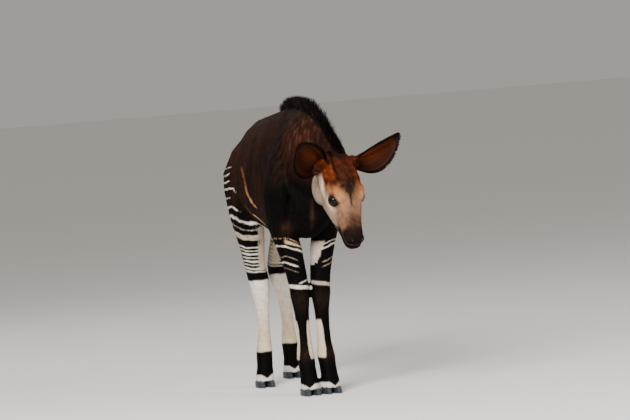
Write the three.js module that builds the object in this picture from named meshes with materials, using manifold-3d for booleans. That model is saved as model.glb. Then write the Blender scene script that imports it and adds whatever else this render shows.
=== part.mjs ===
// Okapi calf, a few weeks old, standing with its head lowered and turned a little to its left.
// Millimetres, +Z up. The calf faces -Y, and its left side is +X. Every number in the tables of slices
// is for a calf of REFERENCE_HEIGHT at the shoulder, and the whole figure grows with WITHERS.
import * as THREE from "three";
import { mergeVertices } from "three/addons/utils/BufferGeometryUtils.js";
import Module from "manifold-3d";

// Driving sizes.
const REFERENCE_HEIGHT = 842;
const WITHERS = 842;
const HEAD_LENGTH = 266;
const HEAD_PITCH = 72;
const HEAD_YAW = 18;
const HEAD_ROLL = 0;
const CROWN = [43, -262, 703];
const EAR_LENGTH = 168;
const EAR_SAG = 100;
const FORE_LEAN = 5;
const KNEE_HEIGHT = 290;
const EAR_HALF_WIDTH = 36;
const EYE_RADIUS = 16.5;
const MANE_HEIGHT = 34;
const TAIL_LENGTH = 250;
const HOOF_HEIGHT = 19;
const GAP = 0.3;

const wasm = await Module();
wasm.setup();
const { Manifold, Mesh } = wasm;
const V = (x, y, z) => new THREE.Vector3(x, y, z);
const rad = THREE.MathUtils.degToRad;

// Closed solid of a three.js geometry, its faces turned outwards.
function solid(geometry) {
  const bare = geometry.clone();
  bare.deleteAttribute("normal");
  bare.deleteAttribute("uv");
  const merged = mergeVertices(bare, 1e-4);
  const corners = new Uint32Array(merged.index.array);
  const build = () =>
    new Manifold(
      new Mesh({
        numProp: 3,
        vertProperties: merged.attributes.position.array,
        triVerts: corners,
      }),
    );
  const made = build();
  if (made.volume() > 0) return made;
  for (let i = 0; i < corners.length; i += 3) {
    [corners[i], corners[i + 1]] = [corners[i + 1], corners[i]];
  }
  return build();
}

const joinAll = (parts) => parts.reduce((sum, part) => sum.add(part));

// Keeps the largest closed surface of a solid, so a sealed hollow is filled and a loose scrap goes.
function largest(shape) {
  const bodies = shape.decompose();
  return bodies.reduce((a, b) => (b.volume() > a.volume() ? b : a));
}

// Smooth rows between key rows, by a cubic through each column. Row[0] is the place along the form.
function smoothRows(keys, perSpan) {
  const slope = (i, c) => {
    const a = keys[Math.max(i - 1, 0)];
    const b = keys[Math.min(i + 1, keys.length - 1)];
    return (b[c] - a[c]) / (b[0] - a[0]);
  };
  const rows = [];
  for (let i = 0; i < keys.length - 1; i++) {
    const span = keys[i + 1][0] - keys[i][0];
    for (let k = 0; k < perSpan; k++) {
      const t = k / perSpan;
      const h = [
        2 * t ** 3 - 3 * t ** 2 + 1,
        (t ** 3 - 2 * t ** 2 + t) * span,
        -2 * t ** 3 + 3 * t ** 2,
        (t ** 3 - t ** 2) * span,
      ];
      rows.push(
        keys[i].map((value, c) =>
          c === 0
            ? keys[i][0] + t * span
            : h[0] * value +
              h[1] * slope(i, c) +
              h[2] * keys[i + 1][c] +
              h[3] * slope(i + 1, c),
        ),
      );
    }
  }
  rows.push([...keys[keys.length - 1]]);
  return rows;
}

// One slice: from its low point to its high point, widest at the share `waist` of the way up,
// with a squareness for the upper and the lower half (2 is an ellipse, less is a ridge, more is a box).
function slice(low, high, side, halfWidth, waist, upper, lower, count) {
  const up = high.clone().sub(low);
  const middle = low.clone().addScaledVector(up, waist);
  const points = [];
  for (let i = 0; i < count; i++) {
    const angle = (2 * Math.PI * i) / count;
    const power = 2 / (Math.sin(angle) >= 0 ? upper : lower);
    const across = Math.sign(Math.cos(angle)) * Math.abs(Math.cos(angle)) ** power;
    const along = Math.sign(Math.sin(angle)) * Math.abs(Math.sin(angle)) ** power;
    const reach = along >= 0 ? 1 - waist : waist;
    points.push(
      middle
        .clone()
        .addScaledVector(side, across * halfWidth)
        .addScaledVector(up, along * reach),
    );
  }
  return points;
}

// Closed skin over a row of slices with the same number of points, with a fan at each end.
function loft(slices) {
  const n = slices[0].length;
  const points = slices.flat();
  const faces = [];
  for (let j = 0; j < slices.length - 1; j++) {
    for (let i = 0; i < n; i++) {
      const a = j * n + i;
      const b = j * n + ((i + 1) % n);
      faces.push(a, b, b + n, a, b + n, a + n);
    }
  }
  const middle = (ring) =>
    ring.reduce((sum, p) => sum.add(p), V(0, 0, 0)).divideScalar(n);
  const first = points.push(middle(slices[0])) - 1;
  const last = points.push(middle(slices[slices.length - 1])) - 1;
  const end = (slices.length - 1) * n;
  for (let i = 0; i < n; i++) {
    const next = (i + 1) % n;
    faces.push(first, next, i, last, end + i, end + next);
  }
  const geometry = new THREE.BufferGeometry();
  geometry.setAttribute(
    "position",
    new THREE.BufferAttribute(new Float32Array(points.flatMap((p) => [p.x, p.y, p.z])), 3),
  );
  geometry.setIndex(faces);
  return geometry;
}

function ellipsoid(centre, radii, turn = [0, 0, 0], detail = 14) {
  const ball = new THREE.SphereGeometry(1, detail, Math.round(detail * 0.7));
  ball.scale(...radii);
  ball.applyMatrix4(new THREE.Matrix4().makeRotationFromEuler(new THREE.Euler(...turn.map(rad))));
  ball.translate(centre.x, centre.y, centre.z);
  return ball;
}

// The trunk, in upright slices from the breast to the rump.
// Columns: place rearward, back line, belly line, half width, waist, squareness above and below.
const TRUNK = [
  [-74, 630, 560, 26, 0.5, 2, 2],
  [-62, 700, 515, 56, 0.45, 2, 2],
  [-30, 770, 478, 82, 0.4, 1.9, 2.1],
  [20, 826, 462, 95, 0.38, 1.75, 2.2],
  [80, 842, 458, 101, 0.38, 1.65, 2.3],
  [150, 839, 459, 106, 0.38, 1.7, 2.3],
  [240, 831, 465, 112, 0.38, 1.75, 2.3],
  [330, 822, 478, 114, 0.38, 1.75, 2.3],
  [410, 813, 500, 112, 0.38, 1.7, 2.2],
  [480, 802, 532, 104, 0.36, 1.6, 2.1],
  [540, 782, 560, 90, 0.36, 1.65, 2.1],
  [590, 750, 585, 68, 0.38, 1.75, 2],
  [622, 718, 606, 46, 0.42, 2, 2],
  [640, 690, 630, 24, 0.5, 2, 2],
];
const SIDEWAYS = V(1, 0, 0);

function trunk() {
  return loft(
    smoothRows(TRUNK, 2).map(([y, back, belly, half, waist, upper, lower]) =>
      slice(V(0, y, belly), V(0, y, back), SIDEWAYS, half, waist, upper, lower, 24),
    ),
  );
}

// The neck, in slices set between its crest and its throat.
// Columns: number, crest x y z, throat x y z, half width, waist.
const NECK = [
  [0, 0, 62, 838, 0, -10, 520, 74, 0.42],
  [1, 2, -20, 840, 2, -62, 566, 70, 0.42],
  [2, 8, -90, 830, 6, -90, 586, 62, 0.44],
  [3, 16, -142, 810, 11, -116, 596, 55, 0.46],
  [4, 26, -180, 780, 18, -142, 599, 49, 0.48],
  [5, 37, -213, 739, 28, -172, 600, 45, 0.5],
  [6, 46, -234, 700, 36, -200, 598, 42, 0.5],
];

function neck() {
  return loft(
    smoothRows(NECK, 2).map(([, cx, cy, cz, tx, ty, tz, half, waist]) =>
      slice(V(tx, ty, tz), V(cx, cy, cz), SIDEWAYS, half, waist, 1.75, 1.9, 24),
    ),
  );
}

// Each leg, in level slices from inside the trunk down to the coronet.
// Columns: height (as minus z, so that places run one way), front, back, distance out, half width.
const FORELEG = [
  [-765, 14, 92, 40, 14],
  [-700, -14, 116, 62, 27],
  [-640, -46, 130, 75, 33.5],
  [-590, -62, 128, 80, 37],
  [-545, -44, 122, 77, 38],
  [-500, -8, 116, 69, 38],
  [-465, 6, 107, 59, 38],
  [-430, 11, 98, 51, 37],
  [-390, 14, 89, 43, 34],
  [-350, 15, 81, 36, 31.5],
  [-320, 12, 78, 32.5, 30.5],
  [-292, 11, 77, 31.5, 30],
  [-268, 17, 75, 31, 26.5],
  [-240, 24, 71, 30.5, 23],
  [-200, 27, 69, 30, 21.5],
  [-155, 26, 71, 30, 22.5],
  [-125, 20, 79, 30.5, 26],
  [-106, 15, 81, 31, 27.5],
  [-82, 9, 73, 31, 25.5],
  [-58, 1, 65, 31, 26],
  [-41, -5, 63, 31, 28.5],
  [-19, -9, 63, 31, 29.3],
];
const RIGHT_HIND_LEG = [
  [-760, 440, 540, 30, 16],
  [-715, 385, 585, 52, 33],
  [-650, 338, 620, 70, 45],
  [-600, 314, 616, 74, 46],
  [-555, 300, 580, 77, 45],
  [-515, 305, 530, 80, 45],
  [-478, 320, 488, 80, 44],
  [-440, 345, 458, 76, 41],
  [-410, 362, 450, 73, 37.5],
  [-380, 374, 459, 69, 34],
  [-355, 383, 469, 63, 33],
  [-325, 385, 467, 57.5, 33.5],
  [-298, 388, 455, 56, 31],
  [-270, 393, 447, 55, 27],
  [-238, 397, 443, 54.5, 22],
  [-200, 398, 441, 54, 20.5],
  [-160, 398, 441, 55, 20],
  [-130, 393, 447, 57, 23.5],
  [-108, 388, 450, 59, 26],
  [-84, 381, 441, 62, 25.5],
  [-60, 373, 431, 65, 25.5],
  [-42, 366, 428, 68, 28],
  [-19, 362, 428, 70, 29.3],
];
const LEFT_HIND_LEG = [
  [-760, 440, 545, 30, 16],
  [-715, 388, 595, 52, 33],
  [-650, 356, 636, 70, 45],
  [-600, 352, 650, 75, 45],
  [-555, 372, 642, 77, 43],
  [-515, 410, 634, 76, 41],
  [-478, 455, 632, 72, 39],
  [-440, 505, 642, 67, 37],
  [-410, 540, 655, 63, 35],
  [-380, 568, 668, 59, 33],
  [-355, 583, 675, 57, 33],
  [-325, 588, 669, 57.5, 33],
  [-298, 590, 656, 60, 30],
  [-270, 592, 646, 64, 26],
  [-238, 594, 642, 68, 22],
  [-200, 596, 639, 71, 20.5],
  [-160, 596, 640, 73, 20.5],
  [-130, 592, 646, 73, 24],
  [-108, 588, 649, 73, 26.3],
  [-84, 581, 640, 72, 25.5],
  [-60, 573, 630, 71, 25.7],
  [-42, 566, 628, 70, 28],
  [-19, 562, 628, 69, 29.3],
];

function leg(rows, sign) {
  const lean = (height) => (rows === FORELEG ? FORE_LEAN * Math.max(0, 1 - height / KNEE_HEIGHT) : 0);
  return loft(
    rows.map(([down, front, back, out, half]) =>
      slice(
        V(sign * out + lean(-down), back, -down),
        V(sign * out + lean(-down), front, -down),
        SIDEWAYS,
        half,
        0.5,
        2.1,
        2.1,
        14,
      ),
    ),
  );
}

// One claw of a cloven hoof: flat underneath, its toe rounded, its inner wall close to its twin.
function claw(row, sign, inner, lean) {
  const [, front, back, out, half] = row;
  const clawHalf = half / 2 - 0.8;
  const centre = sign * out + lean + inner * (half / 2);
  const top = HOOF_HEIGHT - GAP;
  const rows = [
    [0, front - 8, back - 4, clawHalf],
    [2, front - 8.5, back - 2, clawHalf + 0.3],
    [top * 0.5, front - 4.5, back - 0.5, clawHalf],
    [top, front + 1.5, back - 1, clawHalf - 1],
  ];
  return loft(
    rows.map(([z, tip, heel, width]) =>
      slice(V(centre, heel, z), V(centre, tip, z), SIDEWAYS, width, 0.45, 1.9, 2.6, 10),
    ),
  );
}

// The head has a frame of its own: origin at the crown, -Y along the face, +Z out of the forehead.
const headFrame = new THREE.Matrix4()
  .makeTranslation(...CROWN)
  .multiply(new THREE.Matrix4().makeRotationZ(rad(HEAD_YAW)))
  .multiply(new THREE.Matrix4().makeRotationX(rad(HEAD_PITCH)))
  .multiply(new THREE.Matrix4().makeRotationY(rad(HEAD_ROLL)));
const onHead = (geometry) => geometry.applyMatrix4(headFrame);
const headUnit = HEAD_LENGTH / 266;

// Skull and upper lip. Columns: place along the face, top, bottom, half width, waist, squareness.
const SKULL = [
  [-20, -26, -84, 26, 0.5, 2, 2],
  [-8, -8, -110, 40, 0.52, 2.1, 2],
  [12, 2, -122, 49, 0.55, 2.2, 1.9],
  [38, 7, -131, 53, 0.57, 2.4, 1.9],
  [65, 9, -135, 54, 0.58, 2.5, 1.9],
  [95, 8, -130, 54, 0.61, 2.6, 1.9],
  [122, 3, -121, 51, 0.6, 2.7, 1.9],
  [145, -5, -112, 46, 0.55, 2.6, 2],
  [170, -11, -101, 41, 0.5, 2.4, 2.1],
  [195, -16, -84, 34, 0.48, 2.3, 2.3],
  [216, -20, -76, 30.5, 0.46, 2.4, 2.6],
  [234, -25, -74, 30, 0.46, 2.6, 2.7],
  [248, -33, -73, 27, 0.46, 2.5, 2.6],
  [258, -43, -70, 21, 0.46, 2.3, 2.3],
  [264, -52, -65, 10, 0.5, 2, 2],
];
// Lower jaw, whose upper edge lies inside the skull's slices, so the line between them is the mouth.
const JAW = [
  [45, -80, -140, 34, 0.55],
  [80, -74, -141, 36, 0.55],
  [125, -66, -130, 32, 0.55],
  [160, -62, -115, 28, 0.6],
  [195, -60, -98, 24, 0.6],
  [218, -60, -89, 22, 0.6],
  [236, -62, -87, 19, 0.55],
  [246, -67, -83, 11, 0.5],
];

const faceSlice = ([f, top, bottom, half, waist, upper = 2.2, lower = 2.2], count) =>
  slice(
    V(0, -f * headUnit, bottom * headUnit),
    V(0, -f * headUnit, top * headUnit),
    SIDEWAYS,
    half * headUnit,
    waist,
    upper,
    lower,
    count,
  );

const facePoint = (x, f, z) => V(x * headUnit, -f * headUnit, z * headUnit);

// An eye looks out to the side, a little forward and up.
const EYE_CENTRE = [41, 124, -33];
const EYE_LOOK = [0.87, 0.42, 0.24];

function eyeAxis(sign) {
  return V(sign * EYE_LOOK[0], -EYE_LOOK[1], EYE_LOOK[2]).normalize();
}

// Almond-shaped punch along the eye's axis, which opens the lids.
function lidOpening(sign) {
  const halfLength = EYE_RADIUS * 0.95;
  const halfHeight = EYE_RADIUS * 0.66;
  const almond = new THREE.Shape();
  almond.moveTo(-halfLength, 0);
  almond.quadraticCurveTo(-halfLength * 0.25, halfHeight * 2.1, halfLength, 0);
  almond.quadraticCurveTo(-halfLength * 0.1, -halfHeight * 1.9, -halfLength, 0);
  const punch = new THREE.ExtrudeGeometry(almond, {
    depth: EYE_RADIUS * 2,
    bevelEnabled: false,
    curveSegments: 8,
  });
  const out = eyeAxis(sign);
  const along = V(0, 0.93 * sign, 0.3 * sign).cross(out).cross(out).normalize();
  const up = out.clone().cross(along);
  const turn = new THREE.Matrix4().makeBasis(along, up, out);
  const centre = facePoint(sign * EYE_CENTRE[0], EYE_CENTRE[1], EYE_CENTRE[2]);
  punch.applyMatrix4(turn);
  punch.translate(centre.x, centre.y, centre.z);
  return punch;
}

function eyeball(sign, grow = 0) {
  const centre = facePoint(sign * EYE_CENTRE[0], EYE_CENTRE[1], EYE_CENTRE[2]);
  const r = EYE_RADIUS + grow;
  return onHead(ellipsoid(centre, [r, r, r], [0, 0, 0], 12));
}

function head() {
  const forms = [
    loft(smoothRows(SKULL, 2).map((row) => faceSlice(row, 22))),
    loft(JAW.map((row) => faceSlice(row, 16))),
  ];
  for (const sign of [-1, 1]) {
    const side = (x, f, z) => facePoint(sign * x, f, z);
    forms.push(ellipsoid(side(33, 70, -95), [19, 47, 41], [14, 0, 0]));
    forms.push(ellipsoid(side(35, 112, -15), [15, 32, 14], [-6, 0, sign * -14]));
    const lid = EYE_RADIUS + 2;
    forms.push(ellipsoid(side(...EYE_CENTRE), [lid, lid, lid], [0, 0, 0], 12));
    forms.push(ellipsoid(side(21, 240, -42), [10, 16, 10], [-20, 0, sign * -18], 12));
  }
  let made = joinAll(forms.map((form) => solid(onHead(form))));
  for (const sign of [-1, 1]) {
    made = made.subtract(solid(onHead(lidOpening(sign))));
    made = made.subtract(solid(eyeball(sign, GAP)));
    const nostril = ellipsoid(
      facePoint(sign * 27, 246, -42),
      [7, 9, 3.2],
      [-34, sign * 10, sign * -24],
      12,
    );
    made = made.subtract(solid(onHead(nostril)));
  }
  return made;
}

// An ear is a leaf rolled into a cup, nearly a tube at its root and open towards its point.
// Its spread says how much broader and flatter the open part lies, and how far the point curls in.
// Columns: share of the length, half width as a share, half angle of the roll in degrees.
const EAR = [
  [0, 0.42, 128],
  [0.14, 0.58, 116],
  [0.3, 0.85, 92],
  [0.46, 1.0, 74],
  [0.62, 0.95, 64],
  [0.78, 0.72, 58],
  [0.9, 0.42, 54],
  [1, 0.06, 50],
];
const EAR_THICKNESS = 3.4;
const EAR_BASE_RADIUS = 18;
const EAR_SHORTENING = 0.7;

function earBlade(root, along, out, { broader, flatter, curl }) {
  const side = out.clone().cross(along);
  const rows = smoothRows(EAR, 2);
  const columns = 9;
  const face = (offset) =>
    rows.map(([share, width, roll]) => {
      const opened = THREE.MathUtils.smoothstep(share, 0.05, 0.4);
      const angle = rad(roll) * (1 + (flatter - 1) * opened);
      const half = width * EAR_HALF_WIDTH * (1 + (broader - 1) * opened);
      const radius = half / Math.sin(Math.min(angle, Math.PI / 2));
      const spine = root
        .clone()
        .addScaledVector(along, share * EAR_LENGTH - EAR_SHORTENING * curl * share ** 3)
        .addScaledVector(V(0, 0, 1), EAR_SAG * (share * share - share))
        .addScaledVector(out, radius - EAR_BASE_RADIUS + curl * share ** 3);
      const points = [];
      for (let i = 0; i <= columns; i++) {
        const a = angle * ((2 * i) / columns - 1);
        const r = radius + offset;
        points.push(
          spine
            .clone()
            .addScaledVector(side, r * Math.sin(a))
            .addScaledVector(out, -r * Math.cos(a)),
        );
      }
      return points;
    });
  const outer = face(EAR_THICKNESS / 2);
  const inner = face(-EAR_THICKNESS / 2);
  return loft(outer.map((row, j) => [...row, ...inner[j].reverse()]));
}

// An ear, the thin cut at its root, and a place inside its blade. The root is sunk in the head.
function ear(sign, direction, facing, spread) {
  const root = facePoint(sign * EAR_ROOT[0], EAR_ROOT[1], EAR_ROOT[2]).applyMatrix4(headFrame);
  const along = V(...direction).normalize();
  const out = V(...facing);
  out.addScaledVector(along, -out.dot(along)).normalize();
  const at = (share) => root.clone().addScaledVector(along, share * EAR_LENGTH);
  const bulb = ellipsoid(at(0.06), [EAR_BASE_RADIUS, EAR_BASE_RADIUS, EAR_BASE_RADIUS]);
  return {
    form: solid(earBlade(root, along, out, spread)).add(solid(bulb)),
    cut: slab(at(0.15), along, 88, 88),
    place: at(0.5)
      .addScaledVector(along, (-EAR_SHORTENING * spread.curl) / 8)
      .addScaledVector(out, spread.curl / 8 - EAR_BASE_RADIUS)
      .addScaledVector(V(0, 0, 1), -EAR_SAG / 4),
  };
}
const EAR_ROOT = [39, 20, -36];
const UPRIGHT_EAR = { broader: 1, flatter: 1, curl: 0 };
const TURNED_EAR = { broader: 1.36, flatter: 0.8, curl: 45 };
const earLeft = () => ear(1, [0.87, -0.23, 0.4], [-0.2, -0.93, -0.3], UPRIGHT_EAR);
const earRight = () => ear(-1, [-0.73, -0.4, 0.56], [0.3, -0.83, -0.45], TURNED_EAR);

// A lock is a flat tapered blade that bends over towards its tip.
function lock(root, lean, grain, length, width, thickness) {
  const side = lean.clone().cross(grain).normalize();
  const across = side.clone().cross(lean).normalize();
  const steps = [
    [-0.2, 0.8, 0],
    [0.55, 1, 0.08],
    [1, 0.34, 0.36],
  ];
  const rings = steps.map(([share, size, bend]) => {
    const centre = root
      .clone()
      .addScaledVector(lean, share * length)
      .addScaledVector(grain, bend * length);
    return [
      centre.clone().addScaledVector(across, (size * width) / 2),
      centre.clone().addScaledVector(side, (size * thickness) / 2),
      centre.clone().addScaledVector(across, (-size * width) / 2),
      centre.clone().addScaledVector(side, (-size * thickness) / 2),
    ];
  });
  return loft(rings);
}

// Repeatable random numbers between -1 and 1.
let seed = 20260;
function wobble() {
  seed = (seed * 16807) % 2147483647;
  return (2 * seed) / 2147483647 - 1;
}

// The crest that the mane grows from: behind the withers, along the neck, to between the ears.
const CREST = new THREE.CatmullRomCurve3([
  V(0, 185, 834),
  V(0, 130, 839),
  V(0, 62, 841),
  V(2, -20, 840),
  V(8, -90, 830),
  V(16, -142, 810),
  V(26, -180, 780),
  V(37, -213, 739),
  V(45, -240, 706),
]);
const MANE_LOCKS = 19;

// The mane starts low behind the withers, stands highest in front of them and sinks towards the poll.
function maneRise(share) {
  return Math.min(1, 0.45 + share * 2.6) * (1 - 0.5 * Math.max(0, (share - 0.55) / 0.45));
}

// Upward direction of the mane at a place on the crest.
function crestUp(forward) {
  return forward.clone().cross(SIDEWAYS).normalize();
}

// Core of dense hair that runs the length of the crest, up to a share of the mane's height.
function maneCore(heightShare) {
  const count = 26;
  const rings = [];
  for (let i = 0; i <= count; i++) {
    const share = i / count;
    const at = CREST.getPointAt(share);
    const up = crestUp(CREST.getTangentAt(share));
    const ends = Math.min(1, 6 * share, 8 * (1 - share));
    const rise = Math.max(0.06, ends) * MANE_HEIGHT * maneRise(share) * heightShare;
    const low = at.clone().addScaledVector(up, -7);
    const high = at.clone().addScaledVector(up, rise);
    rings.push(slice(low, high, SIDEWAYS, 9.5, 0.3, 1.7, 2, 8));
  }
  return loft(rings);
}

function mane() {
  const locks = [];
  for (const row of [-1, 0, 1]) {
    for (let i = 0; i < MANE_LOCKS; i++) {
      const share = (i + 0.5 + row * 0.33) / MANE_LOCKS;
      const at = CREST.getPointAt(Math.min(Math.max(share, 0), 1));
      const forward = CREST.getTangentAt(Math.min(Math.max(share, 0), 1));
      const up = crestUp(forward);
      const length = MANE_HEIGHT * maneRise(share) * (1 + 0.1 * wobble()) * (row === 0 ? 1.04 : 0.92);
      const lean = up
        .clone()
        .addScaledVector(SIDEWAYS, row * 0.3 + 0.07 * wobble())
        .addScaledVector(forward, -0.18 + 0.12 * wobble())
        .normalize();
      const root = at.clone().addScaledVector(SIDEWAYS, row * 5.5).addScaledVector(up, -2);
      locks.push(lock(root, lean, forward.clone().negate(), length, 27, 8));
    }
  }
  return locks;
}

// The tail hangs from the croup, with a tuft of longer hair at its end.
const TAIL = new THREE.CatmullRomCurve3([
  V(0, 592, 724),
  V(0, 625, 722),
  V(0, 650, 703),
  V(0, 664, 670),
  V(-1, 671, 630),
  V(-2, 674, 580),
  V(-3, 674, 722 - TAIL_LENGTH * 0.82),
]);
const TAIL_CUT = 0.2;

function tail() {
  const count = 16;
  const rings = [];
  for (let i = 0; i <= count; i++) {
    const share = i / count;
    const at = TAIL.getPointAt(share);
    const down = TAIL.getTangentAt(share);
    const back = down.clone().cross(SIDEWAYS).normalize();
    const half = 15 - 9.5 * Math.min(1, share * 1.5);
    rings.push(
      slice(
        at.clone().addScaledVector(back, -half),
        at.clone().addScaledVector(back, half),
        SIDEWAYS,
        half * 1.1,
        0.5,
        2,
        2,
        10,
      ),
    );
  }
  return loft(rings);
}

function tuft() {
  const locks = [];
  const around = 6;
  for (let level = 0; level < 3; level++) {
    for (let i = 0; i < around; i++) {
      const at = TAIL.getPointAt(0.7 + level * 0.13);
      const angle = (2 * Math.PI * (i + level * 0.5)) / around;
      const out = V(Math.cos(angle), Math.sin(angle), 0);
      const lean = V(0, 0, -1).addScaledVector(out, 0.2 + 0.05 * wobble()).normalize();
      const root = at.clone().addScaledVector(out, 3);
      locks.push(lock(root, lean, out.clone().negate(), 70 + 6 * wobble(), 13, 6));
    }
  }
  return locks;
}

// A thin slab that parts two nodes, centred on a point and square to a direction.
function slab(centre, direction, width, height, thickness = GAP) {
  const box = new THREE.BoxGeometry(width, height, thickness);
  const turn = new THREE.Quaternion().setFromUnitVectors(V(0, 0, 1), direction.clone().normalize());
  box.applyQuaternion(turn);
  box.translate(centre.x, centre.y, centre.z);
  return solid(box);
}

// A block under a sloping top, behind an upright front, on one side of the middle: it takes a hind leg.
const GROIN = 16;
function hindBlock(sign, front, height, slope, grow) {
  const length = 420;
  const width = 160;
  const outline = new THREE.Shape();
  outline.moveTo(front - grow, -50);
  outline.lineTo(front + length, -50);
  outline.lineTo(front + length, height + length * Math.tan(rad(slope)) + grow);
  outline.lineTo(front - grow, height + grow);
  outline.closePath();
  const block = new THREE.ExtrudeGeometry(outline, { depth: width, bevelEnabled: false });
  const upright = new THREE.Matrix4().makeBasis(V(0, 1, 0), V(0, 0, 1), V(1, 0, 0));
  block.applyMatrix4(upright);
  block.translate(sign > 0 ? GROIN - grow : grow - GROIN - width, 0, 0);
  return solid(block);
}

const calf = new THREE.Group();
const colours = {
  coat: new THREE.MeshStandardMaterial({ color: 0x3a2018, roughness: 0.75 }),
  face: new THREE.MeshStandardMaterial({ color: 0xa58a72, roughness: 0.8 }),
  legs: new THREE.MeshStandardMaterial({ color: 0x1c1614, roughness: 0.8 }),
  ears: new THREE.MeshStandardMaterial({ color: 0x2a1610, roughness: 0.85 }),
  eye: new THREE.MeshStandardMaterial({ color: 0x0d0908, roughness: 0.1 }),
  hoof: new THREE.MeshStandardMaterial({ color: 0x23262b, roughness: 0.5 }),
};

// Every node is set down so that the lowest point is at zero and the middle of the box is over it.
const nodes = [];
const addNode = (name, shape, material) => nodes.push({ name, shape, material });

const legRows = {
  front_right: [FORELEG, -1],
  front_left: [FORELEG, 1],
  hind_right: [RIGHT_HIND_LEG, -1],
  hind_left: [LEFT_HIND_LEG, 1],
};

// The flesh is joined whole, then parted by thin cuts.
let flesh = joinAll([
  solid(trunk()),
  solid(neck()),
  solid(tail()),
  ...Object.values(legRows).map(([rows, sign]) => solid(leg(rows, sign))),
]);
flesh = joinAll([flesh, solid(maneCore(0.5)), ...mane().map(solid), ...tuft().map(solid), head()]);

// Cleft between the toes above each hoof.
for (const [rows, sign] of Object.values(legRows)) {
  const [, front, , out] = rows[rows.length - 1];
  const wedge = new THREE.ConeGeometry(3.2, 34, 4);
  wedge.rotateX(rad(-8));
  wedge.translate(sign * out + (rows === FORELEG ? FORE_LEAN : 0), front + 2, HOOF_HEIGHT + 12);
  flesh = flesh.subtract(solid(wedge));
}
for (const sign of [-1, 1]) flesh = flesh.subtract(solid(eyeball(sign, GAP)));

// The hind legs come off first, each with a block, then slabs part the rest.
const hind = { hind_right: [-1, 304, 496, 14], hind_left: [1, 350, 500, 12] };
for (const [name, [sign, front, height, slope]] of Object.entries(hind)) {
  const limb = flesh.intersect(hindBlock(sign, front, height, slope, 0));
  addNode(`leg_${name}`, largest(limb), colours.legs);
  flesh = flesh.subtract(hindBlock(sign, front, height, slope, GAP));
}
const cuts = [
  slab(V(4, -55, 700), V(0, -1, 0.14), 330, 420),
  slab(V(20, -175, 654), V(0.12, -0.777, -0.63), 220, 250),
  slab(V(0, 55, 452), V(0, 0, 1), 300, 260),
  slab(TAIL.getPointAt(TAIL_CUT), TAIL.getTangentAt(TAIL_CUT), 46, 46),
];
for (const cut of cuts) flesh = flesh.subtract(cut);

// Each node is the piece that holds a place well inside it.
function pieceAt(shape, place) {
  const probe = slab(place, V(0, 0, 1), 1, 1, 1);
  const found = shape.decompose().filter((piece) => piece.intersect(probe).volume() > 0);
  if (found.length !== 1) throw new Error(`${found.length} pieces at ${place.toArray()}`);
  return found[0];
}
addNode("torso", pieceAt(flesh, V(0, 240, 650)), colours.coat);
addNode("neck", pieceAt(flesh, V(12, -120, 700)), colours.coat);
addNode("tail", pieceAt(flesh, TAIL.getPointAt(0.5)), colours.coat);
addNode("leg_front_right", pieceAt(flesh, V(-30, 45, 300)), colours.legs);
addNode("leg_front_left", pieceAt(flesh, V(30, 45, 300)), colours.legs);

const ears = { ear_right: earRight(), ear_left: earLeft() };
let headOnly = pieceAt(flesh, facePoint(0, 90, -60).applyMatrix4(headFrame));
for (const { form } of Object.values(ears)) headOnly = headOnly.add(form);
for (const { cut } of Object.values(ears)) headOnly = headOnly.subtract(cut);
addNode("head", largest(headOnly), colours.face);
for (const [name, { place }] of Object.entries(ears)) {
  addNode(name, pieceAt(headOnly, place), colours.ears);
}

for (const [name, [rows, sign]] of Object.entries(legRows)) {
  const sole = rows[rows.length - 1];
  const lean = rows === FORELEG ? FORE_LEAN : 0;
  addNode(`hoof_${name}_outer`, solid(claw(sole, sign, sign, lean)), colours.hoof);
  addNode(`hoof_${name}_inner`, solid(claw(sole, sign, -sign, lean)), colours.hoof);
}
addNode("eye_right", solid(eyeball(-1)), colours.eye);
addNode("eye_left", solid(eyeball(1)), colours.eye);

const whole = new THREE.Box3();
for (const { shape } of nodes) {
  const box = shape.boundingBox();
  whole.union(new THREE.Box3(V(...box.min), V(...box.max)));
}
const middle = whole.getCenter(V(0, 0, 0));
const growth = WITHERS / REFERENCE_HEIGHT;
for (const { name, shape, material } of nodes) {
  const mesh = shape.getMesh();
  const geometry = new THREE.BufferGeometry();
  geometry.setAttribute("position", new THREE.BufferAttribute(mesh.vertProperties, 3));
  geometry.setIndex(new THREE.BufferAttribute(mesh.triVerts, 1));
  geometry.translate(-middle.x, -middle.y, -whole.min.z);
  geometry.scale(growth, growth, growth);
  geometry.computeVertexNormals();
  const node = new THREE.Mesh(geometry, material);
  node.name = name;
  calf.add(node);
}

export default calf;
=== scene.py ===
# %% [markdown]
# # An okapi calf
#
# A calf a month or two old stands with its head low and turned a little to its left. The packed
# solids give its size and pose. This lesson dresses them: one smooth skin over the whole body, the
# markings that make an okapi, a coat of short fur in thin tufts, a stiff mane, wet eyes and horn.

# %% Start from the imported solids
from math import cos, pi, radians, sin

import bpy
import numpy as np
from mathutils import Matrix, Vector


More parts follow.
